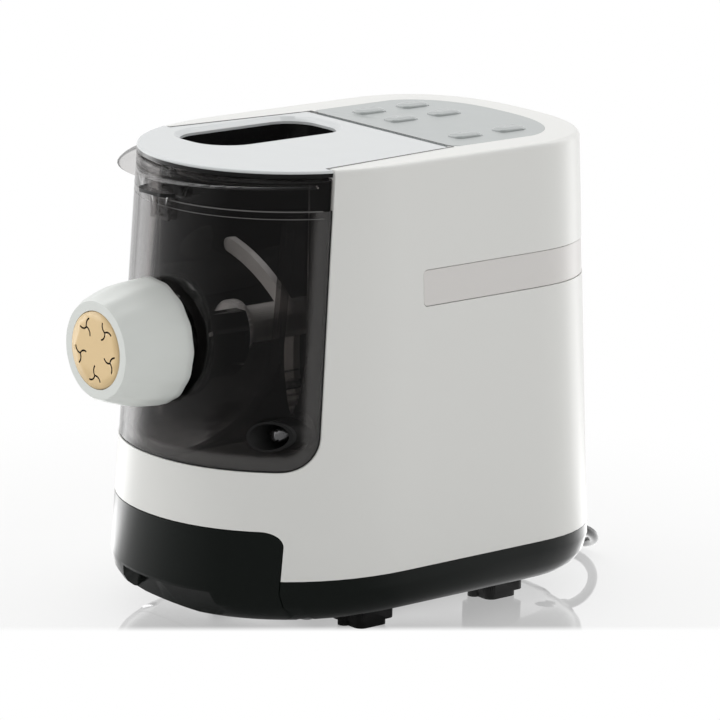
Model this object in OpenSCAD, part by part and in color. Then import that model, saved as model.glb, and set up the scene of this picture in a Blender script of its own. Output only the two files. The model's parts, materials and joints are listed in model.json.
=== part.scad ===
// Electric pasta maker: tapered housing on a tub with a die drawer, a clear front over the mixing
// chamber, an extruding nozzle, a hinged filling lid, and a geared motor behind the chamber.
// Millimetres, +Z up, nozzle towards -Y, origin on the floor under the middle of the length.

/* [Body] */
// Overall height, from the floor to the top deck
body_h = 290; // [280:1:300]
// Width of the body, carried down to floor level
base_w = 216.6; // [210:0.2:222]
// Width of the body at the top deck
top_w = 181.2; // [176:0.2:186]
// Reach of the front from the origin at floor level
front_base = 135.6; // [132:0.2:138]
// Reach of the front from the origin at the top deck
front_top = 122.5; // [119:0.5:125]
// Reach of the rear from the origin at floor level
rear_base = 174.6; // [170:0.2:180]
// Reach of the rear from the origin at the top deck
rear_top = 165; // [160:0.5:170]
// Place along the length where the sides start to round to the front
front_round_y = -17.2; // [-25:0.2:-10]
// Place along the length where the sides start to round to the rear
rear_round_y = 89.2; // [82:0.2:96]
// Roundness of the front half of the plan, 2 is an ellipse
front_power = 2.1; // [2:0.1:2.4]
// Roundness of the rear half of the plan
rear_power = 2.5; // [2.2:0.1:3]
// Wall of the moulded shells
wall = 3; // [2.4:0.1:3.4]
// Thickness of the top deck
deck_t = 5.5; // [5:0.5:7]
// Height of the seam between the tub and the housing
seam_z = 42.7; // [40:0.1:46]
// Height of the underside of the tub, which is the height of a foot
foot_h = 13; // [11:0.5:14]

/* [Front cover and lid] */
// Height of the lower edge of the front cover
cover_z = 110; // [108:0.5:112]
// Place along the length of the cover's rear edge at its lower end
cover_edge_y = -74.6; // [-78:0.2:-72]
// Lean of the cover's rear edge, in degrees
cover_lean = 4.1; // [3:0.1:5]
// Radius of the cover's lower corners
cover_corner_r = 21; // [16:0.5:25]
// Wall of the clear mouldings
clear_t = 3; // [2.4:0.1:3.2]
// Open seam round the cover and the lid
seam_gap = 1.2; // [0.8:0.1:1.6]
// Drop from the top deck to the seam between the cover and the lid skirt
skirt_h = 24; // [22:0.5:26]
// Thickness of the white lid panel
panel_t = 4; // [3.5:0.5:5]
// Half width of the lid panel at its front corners
lid_front_half_w = 77.2; // [75:0.2:79]
// Half width of the lid panel at its hinge
lid_rear_half_w = 68.5; // [66:0.5:70]
// Place of the lid hinge along the length
hinge_y = 39.7; // [38:0.1:42]
// Radius of the barrel along the lid's hinged edge
hinge_r = 4; // [3.5:0.1:4.4]
// Radius of the steel hinge pins
hinge_pin_r = 2; // [1.5:0.1:2.2]
// Reach of the visor past the front of the body
visor_reach = 16.5; // [12:0.5:18]
// Middle of the filling slot across the width
slot_x = -37; // [-40:0.5:-34]
// Middle of the filling slot along the length
slot_y = -23; // [-27:0.5:-19]
// Width of the filling slot
slot_w = 53; // [48:1:56]
// Length of the filling slot
slot_l = 102; // [94:1:104]
// Corner radius of the filling slot
slot_r = 21; // [16:0.5:24]

/* [Nozzle] */
// Height of the nozzle and mixing axis
axis_z = 180; // [178:0.5:182]
// Front face of the nozzle cap along the length
cap_front_y = -173.4; // [-176:0.2:-172]
// Length of the nozzle cap
cap_l = 44.6; // [42:0.2:45]
// Radius of the cap at its rear rim
cap_rear_r = 38.7; // [38.2:0.1:40]
// Radius of the cap at its front rim
cap_front_r = 31; // [30.4:0.1:32]
// Number of flutes round the cap
flute_count = 15; // [12:1:18]
// Radius of the die's open face
die_r = 23.2; // [22:0.1:24]
// Outer radius of the extrusion tube
tube_r = 29.9; // [29.4:0.1:30.2]
// Radius of the bore of the extrusion tube
tube_bore_r = 21.2; // [20.6:0.1:21.8]
// Angle from the cap's locked place to its release
cap_turn = 60; // [50:5:70]

/* [Chamber] */
// Outer radius of the chamber's round bottom
chamber_r = 69.6; // [68.6:0.2:70.2]
// Rear face of the chamber along the length
chamber_rear_y = 34; // [32:0.5:34.5]
// Radius that the mixing arms reach
arm_reach = 65.5; // [62:0.5:65.8]
// Width of a mixing arm
arm_w = 9; // [8:0.5:11]

/* [Drive] */
// Teeth of the output gear
output_teeth = 60; // [60:4:64]
// Teeth of the pinion that drives the output gear
second_pinion_teeth = 15; // [15:1:16]
// Module of the output pair
output_module = 1.5; // [1.4:0.05:1.5]
// Teeth of the intermediate wheel
wheel_teeth = 48; // [44:4:48]
// Teeth of the motor pinion
motor_pinion_teeth = 12; // [11:1:12]
// Module of the motor pair
motor_module = 1.25; // [1.2:0.05:1.25]
// Radius of the motor can
motor_r = 33; // [30:1:34]
// Length of the motor can
motor_l = 66; // [60:1:70]
// Radius of the output shaft
shaft_r = 6; // [5:0.5:6.5]

/* [Drawer] */
// Distance from each side of the base to the side of the drawer front
drawer_inset = 27.9; // [26:0.1:30]
// Height of the top of the drawer front
drawer_top_z = 72.3; // [70:0.1:74]
// Length of the drawer tray
tray_l = 107; // [100:1:112]
// How far the drawer opens
drawer_travel = 75; // [60:1:80]

/* [Controls] */
// Width of a button
button_w = 12; // [10:0.5:13]
// Length of a button
button_l = 21; // [18:0.5:23]
// Pitch of the button columns
button_pitch = 30.7; // [29:0.1:32]
// Travel of a button
button_travel = 1.2; // [0.8:0.1:1.4]
// Inset of the control panel from the edge of the deck
panel_inset = 20; // [18:0.5:23]

/* [Cord] */
// Diameter of the mains cord
cord_d = 6.2; // [5.8:0.1:7]

/* [Hidden] */
$fn = 64;
eps = 0.01;
far = 400;
fit = 0.3;                       // gap between parts that sit loosely
run = 0.05;                      // radial clearance of a shaft in its bore
steps = 16;                      // steps in each quarter of the plan

// ---- plan of the body ----
function half_w(z) = (base_w + (top_w - base_w) * z / body_h) / 2;
function front_y(z) = -front_base + (front_base - front_top) * z / body_h;
function rear_y(z) = rear_base - (rear_base - rear_top) * z / body_h;
function front_pt(a, w, f) =
    [w * pow(sin(a), 2 / front_power), front_round_y + (f - front_round_y) * pow(cos(a), 2 / front_power)];
function rear_pt(a, w, r) =
    [w * pow(cos(a), 2 / rear_power), rear_round_y + (r - rear_round_y) * pow(sin(a), 2 / rear_power)];
// Plan of the body at height z, moved inwards by inset; push moves only the front apex outwards
function plan(z, inset = 0, push = 0) =
    let (w = half_w(z) - inset, f = front_y(z) + inset - push, r = rear_y(z) - inset, q = 90 / steps)
    let (front = [for (i = [0 : steps]) front_pt(i * q, w, f)],
         rear = [for (i = [0 : steps]) rear_pt(i * q, w, r)])
    concat(front, rear,
           [for (i = [steps - 1 : -1 : 0]) [-rear[i][0], rear[i][1]]],
           [for (i = [steps : -1 : 1]) [-front[i][0], front[i][1]]]);
// Solid lofted through the plan at each level, a level being [height, inset] or [height, inset, push]
module loft(levels) {
    rings = [for (l = levels) [for (p = plan(l[0], l[1], len(l) > 2 ? l[2] : 0)) [p[0], p[1], l[0]]]];
    n = len(rings[0]);
    last = (len(levels) - 1) * n;
    polyhedron(
        points = [for (r = rings) each r],
        faces = concat([[for (j = [0 : n - 1]) j]], [[for (j = [n - 1 : -1 : 0]) last + j]],
            [for (i = [0 : len(levels) - 2]) for (j = [0 : n - 1]) let (k = (j + 1) % n, a = i * n)
                each [[a + j, a + n + j, a + n + k], [a + j, a + n + k, a + k]]]));
}
// Wall between two insets of the body, from z0 to z1
module skin(z0, z1, outer, inner) {
    difference() {
        loft([[z0, outer], [z1, outer]]);
        loft([[z0 - 1, inner], [z1 + 1, inner]]);
    }
}

// ---- directions ----
// Front-view outline pulled along Y from y0 to y1
module prism_y(y0, y1) translate([0, y1, 0]) rotate([90, 0, 0]) linear_extrude(y1 - y0) children();
// Side-view outline, drawn as (y, z), pulled along X across the whole body
module prism_x(width = far) rotate([90, 0, 90]) linear_extrude(width, center = true) children();
module rod_y(y0, y1, r, x = 0, z = 0)
    translate([x, y0, z]) rotate([-90, 0, 0]) cylinder(h = y1 - y0, r = r);
module on_axis() translate([0, 0, axis_z]) children();
module both_sides() {
    children();
    mirror([1, 0, 0]) children();
}
// Rectangle with round corners, centred
module round_rect(w, l, r) {
    square([w - 2 * r, l], center = true);
    square([w, l - 2 * r], center = true);
    for (x = [-1, 1], y = [-1, 1]) translate([x * (w / 2 - r), y * (l / 2 - r)]) circle(r);
}

// ---- outlines shared by parts that meet ----
// Half width of the body at a place along its length, at height z
function side_x(y, z) =
    let (w = half_w(z), f = front_round_y - front_y(z), r = rear_y(z) - rear_round_y)
    y < front_round_y ? w * pow(1 - pow((front_round_y - y) / f, front_power), 1 / front_power)
    : y > rear_round_y ? w * pow(1 - pow((y - rear_round_y) / r, rear_power), 1 / rear_power) : w;
// Side view of the cover and lid front: everything ahead of the leaning edge and above the lower edge
function cover_outline(grow = 0) =
    let (r = cover_corner_r + grow, z0 = cover_z - grow, edge = cover_edge_y + grow / cos(cover_lean),
         cy = edge - r * (1 - sin(cover_lean)) / cos(cover_lean), top = body_h + 20)
    concat([[-far, z0]],
           [for (i = [0 : 10]) let (a = -90 + (90 - cover_lean) * i / 10)
               [cy + r * cos(a), z0 + r + r * sin(a)]],
           [[edge + (top - z0) * tan(cover_lean), top], [-far, top]]);
function cover_rear_y(z) = cover_edge_y + (z - cover_z) * tan(cover_lean);
function bulkhead_y(z) = cover_rear_y(z) + 2;            // front of the wall behind the cover's edge
corner_y = cover_rear_y(body_h);
seam_y = hinge_y + hinge_r + 0.6;                       // front edge of the fixed deck
function lid_half_w(y) =
    let (rear = hinge_y + hinge_r)
    lid_rear_half_w + (lid_front_half_w - lid_rear_half_w) * (rear - y) / (rear - corner_y);
module lid_plan(shrink, front, rear)
    polygon([[-lid_half_w(front) + shrink, front], [lid_half_w(front) - shrink, front],
             [lid_half_w(rear) - shrink, rear], [-lid_half_w(rear) + shrink, rear]]);
// Front view of the drawer: straight sides, round upper corners
drawer_corner_r = 9;
drawer_half_w = base_w / 2 - drawer_inset;
module drawer_outline(grow) {
    w = drawer_half_w + grow;
    r = drawer_corner_r + grow;
    top = drawer_top_z + grow;
    translate([-w, 0]) square([2 * w, top - r]);
    translate([-w + r, 0]) square([2 * (w - r), top]);
    both_sides() translate([w - r, top - r]) circle(r);
}
drawer_rear_y = -84;                                    // where the drawer front ends under the tub
// Side view of the band round the rear
band_h = 22.5;
band_z1 = body_h - 66;
band_z0 = band_z1 - band_h;
band_front_y = 0;
module band_outline(shrink) {
    r = 3 - shrink;
    h = band_z1 - band_z0 - 2 * shrink;
    translate([band_front_y + shrink + r, band_z0 + shrink]) square([far, h]);
    translate([band_front_y + shrink, band_z0 + shrink + r]) square([far, h - 2 * r]);
    for (z = [band_z0 + shrink + r, band_z1 - shrink - r])
        translate([band_front_y + shrink + r, z]) circle(r);
}
// Plan of the control panel
panel_plate_t = 2.5;
module panel_plan(shrink = 0)
    intersection() {
        polygon(plan(body_h, panel_inset + shrink));
        translate([0, seam_y + 100 + shrink]) round_rect(2 * lid_rear_half_w - 2 * shrink, 200, 6);
    }
// The six buttons: columns at -1.5, -0.5 and 1.5 pitches, two rows
button_rows = [72.9, 108.3];
button_cols = [-1.5, -0.5, 1.5];
function button_at(i) = [button_cols[i % 3] * button_pitch, button_rows[floor(i / 3)]];
slot_bevel = 4;
module slot_plan(grow = 0)
    translate([slot_x, slot_y]) round_rect(slot_w + 2 * grow, slot_l + 2 * grow, slot_r + grow);

// ---- heights ----
panel_z = body_h - panel_t;                             // underside of the lid panel
hinge_z = body_h - hinge_r;
deck_z = body_h - deck_t;                               // underside of the deck
skirt_z = body_h - skirt_h;                             // seam between the cover and the lid skirt
chamber_top_z = skirt_z - 4;                            // rim of the chamber
floor_t = 3;
floor_z = foot_h + floor_t;                             // top of the tub's floor
liner_gap = 1.5;
liner_t = 2.5;
liner_r = chamber_r + liner_gap;                        // inside of the bay liner
liner_rear_y = chamber_rear_y + 2;                      // front face of the liner's rear wall
liner_top_z = hinge_z - hinge_r - 0.6;
shelf_z = cover_z - 3.5;                                // top of the shelf under the chamber's front

// ---- housing ----
// Base screws, mirrored: place along the length, distance inside the outer face at the seam
screw_rows = [[-72, 16.8], [40, 26.7], [128, 29.3]];
screw_spots = [for (s = screw_rows) [side_x(s[0], seam_z) - s[1], s[0]]];
screw_r = 1.6;
boss_r = 4.5;
boss_top_z = 62;
head_z = foot_h + 5;                                    // top of a base screw's head
seat_z = head_z + 3;                                    // foot of a post on the tub
board_post_x = 58;
board_post_ys = [58, 124];
module housing_shell() color("whitesmoke") {
    difference() {
        union() {
            difference() {
                loft([[seam_z, 0], [body_h - 3.5, 0], [body_h - 1.6, 0.5], [body_h - 0.5, 1.4],
                      [body_h, 2.6]]);
                loft([[seam_z - 1, wall], [deck_z, wall]]);
            }
            // cheeks that hold the hinge pins
            both_sides() translate([lid_rear_half_w + 1, hinge_y - 7, liner_top_z + 0.2])
                cube([9, 12.5, hinge_z + 1 - liner_top_z]);
            // rib behind the lid seam
            translate([-lid_rear_half_w - 9, seam_y + 3, liner_top_z + 0.2])
                cube([2 * lid_rear_half_w + 18, 2, deck_z - liner_top_z + 0.8]);
            // posts for the base screws, each tied to the wall
            both_sides() for (s = screw_spots) translate([s[0], s[1], seat_z + 0.2])
                cylinder(h = boss_top_z - seat_z - 0.2, r = boss_r);
            intersection() {
                loft([[seam_z, wall / 2], [body_h, wall / 2]]);
                both_sides() for (s = screw_spots) translate([s[0], s[1] - 1, seam_z + 6])
                    cube([far, 2, boss_top_z - seam_z - 6]);
            }
            // posts that carry the control board
            both_sides() for (y = board_post_ys) translate([board_post_x, y, deck_z - 7])
                cylinder(h = 7.5, r = 3);
        }
        prism_x() polygon(cover_outline(seam_gap));
        translate([0, 0, deck_z - 4]) linear_extrude(deck_t + 5) lid_plan(0, corner_y - 20, seam_y);
        prism_y(-far, drawer_rear_y) drawer_outline(0.6);
        // pocket of the rear band
        intersection() {
            prism_x() band_outline(0);
            skin(band_z0 - 2, band_z1 + 2, -2, 1.7);
        }
        // pocket of the control panel and the wells under its buttons
        translate([0, 0, body_h - panel_plate_t]) linear_extrude(panel_plate_t + 1) panel_plan();
        for (i = [0 : 5]) translate([button_at(i)[0], button_at(i)[1], deck_z - 1])
            linear_extrude(deck_t) round_rect(button_w + 5, button_l + 5, 3);
        both_sides() translate([lid_rear_half_w - 1, hinge_y, hinge_z]) rotate([0, 90, 0])
            cylinder(h = 9.5, r = hinge_pin_r);
        both_sides() for (s = screw_spots) translate([s[0], s[1], 0])
            cylinder(h = boss_top_z - 4, r = screw_r);
    }
}
module rear_band() color("gainsboro")
    intersection() {
        prism_x() band_outline(0.5);
        skin(band_z0 - 1, band_z1 + 1, 0.35, 1.6);
    }

// ---- tub, feet and drawer ----
tub_levels = [[foot_h, 24], [foot_h + 1.2, 17.5], [foot_h + 3.5, 11.8], [foot_h + 7.5, 6.6],
              [foot_h + 13, 2.6], [foot_h + 22, 0]];
tub_inner = [[floor_z, 26.5], [floor_z + 1.5, 18], [floor_z + 4, 12], [floor_z + 8.5, 7],
             [floor_z + 18, wall]];
cord_x = 50;
cord_z = 25;
niche_w = 30;
niche_front_y = 150;
niche_top_z = cord_z + 12;
foot_ys = [-32, 73];
foot_l = 29;
foot_x0 = 55;
foot_w = 25;
module vents()
    for (x = [-30 : 6 : 6], y = [112, 138]) translate([x, y, foot_h - 1])
        linear_extrude(floor_t + 2) round_rect(2.4, 20, 1.1);
module base_tub() color([0.1, 0.11, 0.105]) {
    difference() {
        union() {
            difference() {
                loft(concat(tub_levels, [[seam_z - 0.3, 0]]));
                loft(concat(tub_inner, [[seam_z + 1, wall]]));
            }
            // lip that locates the housing
            difference() {
                skin(seam_z - 6, seam_z + 5, wall + 0.3, wall + 2.3);
                prism_y(-far, drawer_rear_y) drawer_outline(0.6);
            }
            skin(seam_z - 6, seam_z - 0.8, wall - 0.4, wall + 0.4);
            // niche for the cord, and the seats of the base screws
            intersection() {
                loft(concat(tub_levels, [[seam_z - 0.3, 0]]));
                union() {
                    translate([cord_x - niche_w / 2 - 2.5, niche_front_y - 2.5, foot_h])
                        cube([niche_w + 5, far, niche_top_z - foot_h + 2.5]);
                    both_sides() for (s = screw_spots) translate([s[0], s[1], foot_h])
                        cylinder(h = seat_z - foot_h, r = boss_r + 3);
                }
            }
            // runners beside the drawer tray
            both_sides() translate([tray_half_w + fit, drawer_rear_y + 2, floor_z - 1])
                cube([2, tray_l - 5, 14]);
            // pillars for the power board
            for (x = [-56, 26], y = [62, 140]) translate([x, y, floor_z - 1]) cylinder(h = 9, r = 3.5);
        }
        prism_y(-far, drawer_rear_y) drawer_outline(0.6);
        translate([cord_x - niche_w / 2, niche_front_y, foot_h - 5])
            cube([niche_w, far, niche_top_z - foot_h + 5]);
        rod_y(niche_front_y - 5, niche_front_y + 1, 5, cord_x, cord_z);
        both_sides() for (s = screw_spots) translate([s[0], s[1], 0]) {
            cylinder(h = head_z, r = 5.5);
            cylinder(h = seat_z + 1, r = 2.2);
            translate([0, 0, seat_z]) cylinder(h = seam_z, r = boss_r + fit);
        }
        vents();
    }
}
foot_pad_h = 4.5;
// Plan of a foot, a round cornered block with a lobe at its inner front corner
module foot_plan(inset) {
    round_rect(foot_w - 2 * inset, foot_l - 2 * inset, 5);
    translate([7 - foot_w / 2, -foot_l / 2 + 3]) circle(7 - inset);
}
module feet() color([0.07, 0.07, 0.07])
    both_sides() for (y = foot_ys) {
        translate([foot_x0 + foot_w / 2, y + foot_l / 2, 0]) {
            linear_extrude(foot_pad_h) foot_plan(3);
            translate([0, 0, foot_pad_h - eps]) linear_extrude(foot_h - foot_pad_h + eps) foot_plan(0);
        }
    }
module base_screws() color("silver")
    both_sides() for (s = screw_spots) translate([s[0], s[1], 0]) {
        translate([0, 0, head_z - 2.4]) cylinder(h = 2.4, r = 4.2);
        translate([0, 0, head_z - eps]) cylinder(h = 20, r = screw_r);
    }

recess_x = 9;
recess_half_w = 38;
recess_top_z = 33;
recess_back_y = front_y(0) + 22;
tray_arm_x = 62;
tray_arm_z = 38;
tray_half_w = screw_spots[0][0] - boss_r - 5.5;         // clear of the front posts
tray_chamfer = 8;
tray_z0 = floor_z + 0.4;
tray_top_z = 60;
tray_front_y = drawer_rear_y - 0.3;
tray_t = 2;
module recess_outline(grow)
    translate([recess_x, 0]) both_sides()
        polygon([[0, -far], [50 + grow, -far], [50 + grow, 0], [recess_half_w + grow, recess_top_z + grow],
                 [0, recess_top_z + grow]]);
module drawer_front() color([0.1, 0.11, 0.105])
    difference() {
        union() {
            intersection() {
                difference() {
                    loft(concat(tub_levels, [[drawer_top_z + 5, 0]]));
                    loft([[floor_z + 0.4, 25], [floor_z + 4, 12.4], [floor_z + 8.5, 7.6],
                          [floor_z + 18, wall + 0.6], [drawer_top_z + 6, wall + 0.6]]);
                }
                prism_y(-far, drawer_rear_y - 0.5) drawer_outline(0);
            }
            // walls of the finger recess
            intersection() {
                loft(concat(tub_levels, [[drawer_top_z + 5, 0]]));
                prism_y(-far, recess_back_y + 2.5) recess_outline(2.5);
            }
        }
        prism_y(-far, recess_back_y) recess_outline(0);
    }
// Front view of the tray, its lower edges chamfered
module tray_outline(inset, top)
    let (w = tray_half_w - inset, z0 = tray_z0 + inset, c = tray_chamfer)
    polygon([[c - w, z0], [w - c, z0], [w, z0 + c], [w, top], [-w, top], [-w, z0 + c]]);
module drawer_tray() color([0.16, 0.17, 0.165]) {
    difference() {
        prism_y(tray_front_y, tray_front_y + tray_l) tray_outline(0, tray_top_z);
        prism_y(tray_front_y + tray_t, tray_front_y + tray_l - tray_t) tray_outline(tray_t, far);
    }
    // arms that carry the drawer front
    intersection() {
        loft([[tray_arm_z, wall + 0.7], [tray_top_z + 5, wall + 0.7]]);
        for (x = [-tray_arm_x, tray_arm_x]) translate([x - 1.5, -far, tray_arm_z])
            cube([3, far + tray_front_y + eps, tray_top_z - tray_arm_z]);
    }
}
spare_r = 26.9;
spare_t = 6;
module spare_dies() color("burlywood")
    both_sides() for (k = [0, 1])
        translate([spare_r + 1.1, tray_front_y + tray_l / 2, tray_z0 + tray_t + spare_t * k]) difference() {
            cylinder(h = spare_t, r = spare_r);
            translate([0, 0, -1]) cylinder(h = spare_t + 2, r = 2.2);
            for (i = [0 : 7]) rotate(i * 45) translate([15, 0, -1])
                cylinder(h = spare_t + 2, r = 1.4 + 1.2 * k, $fn = 24);
        }

// ---- bay, chamber and cover ----
module u_outline(r, top) {
    circle(r);
    translate([-r, 0]) square([2 * r, top]);
}
bay_top = liner_top_z - axis_z;
module bay_liner() color([0.14, 0.14, 0.14]) {
    difference() {
        union() {
            // trough behind the bulkhead
            on_axis() prism_y(cover_rear_y(cover_z) + 4, liner_rear_y + liner_t) intersection() {
                u_outline(liner_r + liner_t, 200);
                translate([-100, -100]) square([200, 100 + bay_top]);
            }
            // leaning bulkhead and the shelf in front of it
            intersection() {
                loft([[shelf_z - liner_t, wall + 0.3], [liner_top_z, wall + 0.3]]);
                prism_x() polygon([[bulkhead_y(shelf_z - liner_t), shelf_z - liner_t],
                                   [bulkhead_y(liner_top_z), liner_top_z],
                                   [bulkhead_y(liner_top_z) + liner_t, liner_top_z],
                                   [bulkhead_y(shelf_z) + liner_t, shelf_z - liner_t]]);
            }
            intersection() {
                loft([[shelf_z - liner_t, wall + 0.3], [shelf_z, wall + 0.3]]);
                translate([-far, -far, 0]) cube([2 * far, far + cover_rear_y(shelf_z) + 3, far]);
            }
            // drip flange behind the rear wall
            translate([-lid_rear_half_w, liner_rear_y, liner_top_z - 2]) cube([2 * lid_rear_half_w, 14, 2]);
        }
        on_axis() prism_y(-far, liner_rear_y) u_outline(liner_r, 200);
        on_axis() rod_y(0, far, seal_r);
        // pockets for the gearbox bolts
        for (p = gearbox_bolts) rod_y(liner_rear_y - 1, liner_rear_y + 5, bolt_r, p[0], p[1]);
    }
}
chamber_t = 2.6;
module chamber_front(inset)
    loft([[shelf_z - 10, inset], [chamber_top_z + 20, inset]]);
module mixing_chamber() color([0.25, 0.25, 0.27], 0.6)
    difference() {
        intersection() {
            on_axis() prism_y(-far, chamber_rear_y) intersection() {
                u_outline(chamber_r, 200);
                translate([-100, -100]) square([200, 100 + chamber_top_z - axis_z]);
            }
            chamber_front(clear_t + 3);
        }
        on_axis() prism_y(-far, chamber_rear_y - chamber_t) u_outline(chamber_r - chamber_t, 200);
        on_axis() rod_y(0, far, shaft_r + 1.2);
    }
module chamber_gasket() color([0.05, 0.05, 0.05])
    intersection() {
        on_axis() prism_y(-far, 0) difference() {
            intersection() {
                u_outline(chamber_r + 0.4, 200);
                translate([-100, -100]) square([200, 100 + chamber_top_z - axis_z]);
            }
            u_outline(chamber_r - chamber_t, 200);
        }
        skin(shelf_z - 8, chamber_top_z + 18, clear_t + 0.6, clear_t + 3);
        translate([-far, -far, 0]) cube([2 * far, far + cover_rear_y(chamber_top_z) - 4, far]);
    }
stud_x = 72;
stud_z = 131;
stud_hole_r = 9.4;
stud_r = 4;
stud_tip_y = cover_rear_y(stud_z) - 22;
grommet_t = 1.5;
boss_flat_y = -113;
module front_cover() color([0.3, 0.3, 0.32], 0.5)
    difference() {
        union() {
            intersection() {
                skin(cover_z - 5, skirt_z, 0.4, clear_t + 0.4);
                prism_x() polygon(cover_outline(0));
                translate([-far, -far, 0]) cube([2 * far, 2 * far, skirt_z - 0.4]);
            }
            // flat collar round the extrusion tube, and the sleeves of the two studs
            intersection() {
                union() {
                    on_axis() rod_y(-far, boss_flat_y, 37);
                    both_sides() rod_y(-far, stud_seat_y, stud_hole_r + 2, stud_x, stud_z);
                }
                loft([[cover_z - 5, 1.4], [skirt_z, 1.4]]);
            }
            // catch for the lid hook
            translate([-4, front_y(catch_z) - 0.8, catch_z - 1]) cube([8, 3, 3]);
        }
        on_axis() rod_y(-far, 0, tube_r + 0.3);
        both_sides() rod_y(-far, 0, stud_hole_r, stud_x, stud_z);
    }
stud_seat_y = cover_rear_y(stud_z) + 1.2;
catch_z = skirt_z - 8;                                  // middle of the catch the lid hooks under
module cover_seal() color([0.03, 0.03, 0.03])
    intersection() {
        skin(cover_z - 5, skirt_z, 0.9, 3);
        difference() {
            prism_x() polygon(cover_outline(seam_gap - 0.1));
            prism_x() polygon(cover_outline(0.1));
        }
    }
module cover_studs() color("silver")
    both_sides() {
        rod_y(stud_tip_y + 2, bulkhead_y(stud_z - stud_r), stud_r, stud_x, stud_z);
        rod_y(stud_tip_y, stud_tip_y + 2 + eps, stud_r - 1, stud_x, stud_z);
    }
module stud_grommets() color([0.04, 0.04, 0.04])
    both_sides() difference() {
        intersection() {
            rod_y(-far, stud_seat_y - 0.4, stud_hole_r - 0.1, stud_x, stud_z);
            loft([[cover_z, -0.8], [skirt_z, -0.8]]);
        }
        rod_y(-far, 0, stud_hole_r - grommet_t, stud_x, stud_z);
    }

// ---- nozzle ----
cap_rear_y = cap_front_y + cap_l;
die_face_y = cap_front_y - 0.3;
die_flange_y = die_face_y + 2;
die_back_y = die_flange_y + 4;
die_flange_r = die_r + 3.6;
lug_y = cap_rear_y - 9;
lug_l = 4;
lug_r = tube_r + 2.8;
lug_angle = 24;
module wedge(angle, r)
    polygon(concat([[0, 0]], [for (i = [0 : 6]) let (a = angle * (i / 6 - 0.5)) r * [cos(a), sin(a)]]));
scoop_end_y = -79;
scoop_rim = 16;                                         // height of the scoop's rim above the axis
module extrusion_tube() color([0.09, 0.09, 0.09])
    on_axis() difference() {
        union() {
            rod_y(die_flange_y + fit, boss_flat_y + eps, tube_r);
            rod_y(boss_flat_y, boss_flat_y + 4, 36);
            // scoop that guides the dough into the screw
            rod_y(boss_flat_y + 4 - eps, scoop_end_y, tube_r - 1.4);
            // bayonet lugs
            for (k = [0, 1]) prism_y(lug_y, lug_y + lug_l) rotate(180 * k) intersection() {
                circle(lug_r);
                wedge(lug_angle, 2 * lug_r);
            }
        }
        rod_y(-far, far, tube_bore_r);
        rod_y(-far, die_back_y, die_flange_r + 0.1);
        // open top of the scoop
        translate([-far / 2, boss_flat_y + 5, scoop_rim]) cube([far, far, far]);
    }
swirl_pitch_r = 15.5;
swirl_arm_r = 4.6;
swirl_w = 1.1;
swirl_turn = -17.5;
// One arm of a swirl: an arc from the middle outwards
module swirl_arm() intersection() {
    translate([0, -swirl_arm_r]) difference() {
        circle(swirl_arm_r + swirl_w / 2, $fn = 40);
        circle(swirl_arm_r - swirl_w / 2, $fn = 40);
    }
    translate([-0.3, 0.4 - swirl_arm_r]) square([5.4, swirl_arm_r + 0.6]);
}
module pasta_die() color("burlywood")
    on_axis() difference() {
        union() {
            rod_y(die_face_y, die_back_y, die_r);
            rod_y(die_flange_y + 0.2, die_back_y, die_flange_r);
        }
        prism_y(die_face_y - 1, die_back_y + 1) for (i = [0 : 4])
            rotate(72 * i + 53) translate([swirl_pitch_r, 0])
                for (k = [0 : 2]) rotate(120 * k + swirl_turn) swirl_arm();
    }
// Side profile of the cap: share of its length, share of its growth from the front rim to the rear
cap_profile = [[0.04, 0.03], [0.13, 0.22], [0.27, 0.5], [0.45, 0.78], [0.67, 0.92], [0.85, 1],
               [0.98, 0.98]];
flute_depth = 0.7;
flute_steps = 6;
// One ring of the cap: a circle with broad shallow flutes
function cap_ring(y, r, depth) =
    let (n = flute_count * flute_steps)
    [for (i = [0 : n - 1]) let (a = 360 * i / n, d = r - depth * (1 - cos(flute_count * a)) / 2)
        [d * cos(a), y, d * sin(a)]];
module cap_body() {
    growth = cap_rear_r - cap_front_r;
    rings = concat([cap_ring(cap_front_y, cap_front_r - 1.4, 0.1)],
        [for (p = cap_profile)
            cap_ring(cap_front_y + cap_l * p[0], cap_front_r + growth * p[1], flute_depth)],
        [cap_ring(cap_front_y + cap_l, cap_rear_r - 1, flute_depth)]);
    n = len(rings[0]);
    last = (len(rings) - 1) * n;
    polyhedron(
        points = [for (r = rings) each r],
        faces = concat([[for (j = [n - 1 : -1 : 0]) j]], [[for (j = [0 : n - 1]) last + j]],
            [for (i = [0 : len(rings) - 2]) for (j = [0 : n - 1]) let (k = (j + 1) % n, a = i * n)
                each [[a + j, a + k, a + n + k], [a + j, a + n + k, a + n + j]]]));
}
module nozzle_cap() color("whitesmoke")
    on_axis() difference() {
        cap_body();
        rod_y(-far, far, die_r + 0.6);
        rod_y(die_flange_y, far, tube_r + run);
        rod_y(lug_y - 1, lug_y + lug_l + 0.5, lug_r + 0.6);
        // entry slots of the bayonet, a turn of cap_turn away from the lugs
        for (k = [0, 1]) prism_y(lug_y, far) rotate(180 * k - cap_turn) intersection() {
            circle(lug_r + 0.35);
            wedge(lug_angle + 6, 2 * lug_r);
        }
        rod_y(cap_rear_y - 1, far, cap_rear_r - 3);
    }

// ---- mixing shaft ----
hub_r = 11.5;
square_w = 9;
hub_front_y = -72;
hub_rear_y = chamber_rear_y - chamber_t - 1.5;
arm_ys = [-37, -14, 9];
arm_t = 5;
arm_curve_r = 124.5;
arm_lift = 37.5;                                        // direction of an arm above the hub, in degrees
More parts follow.
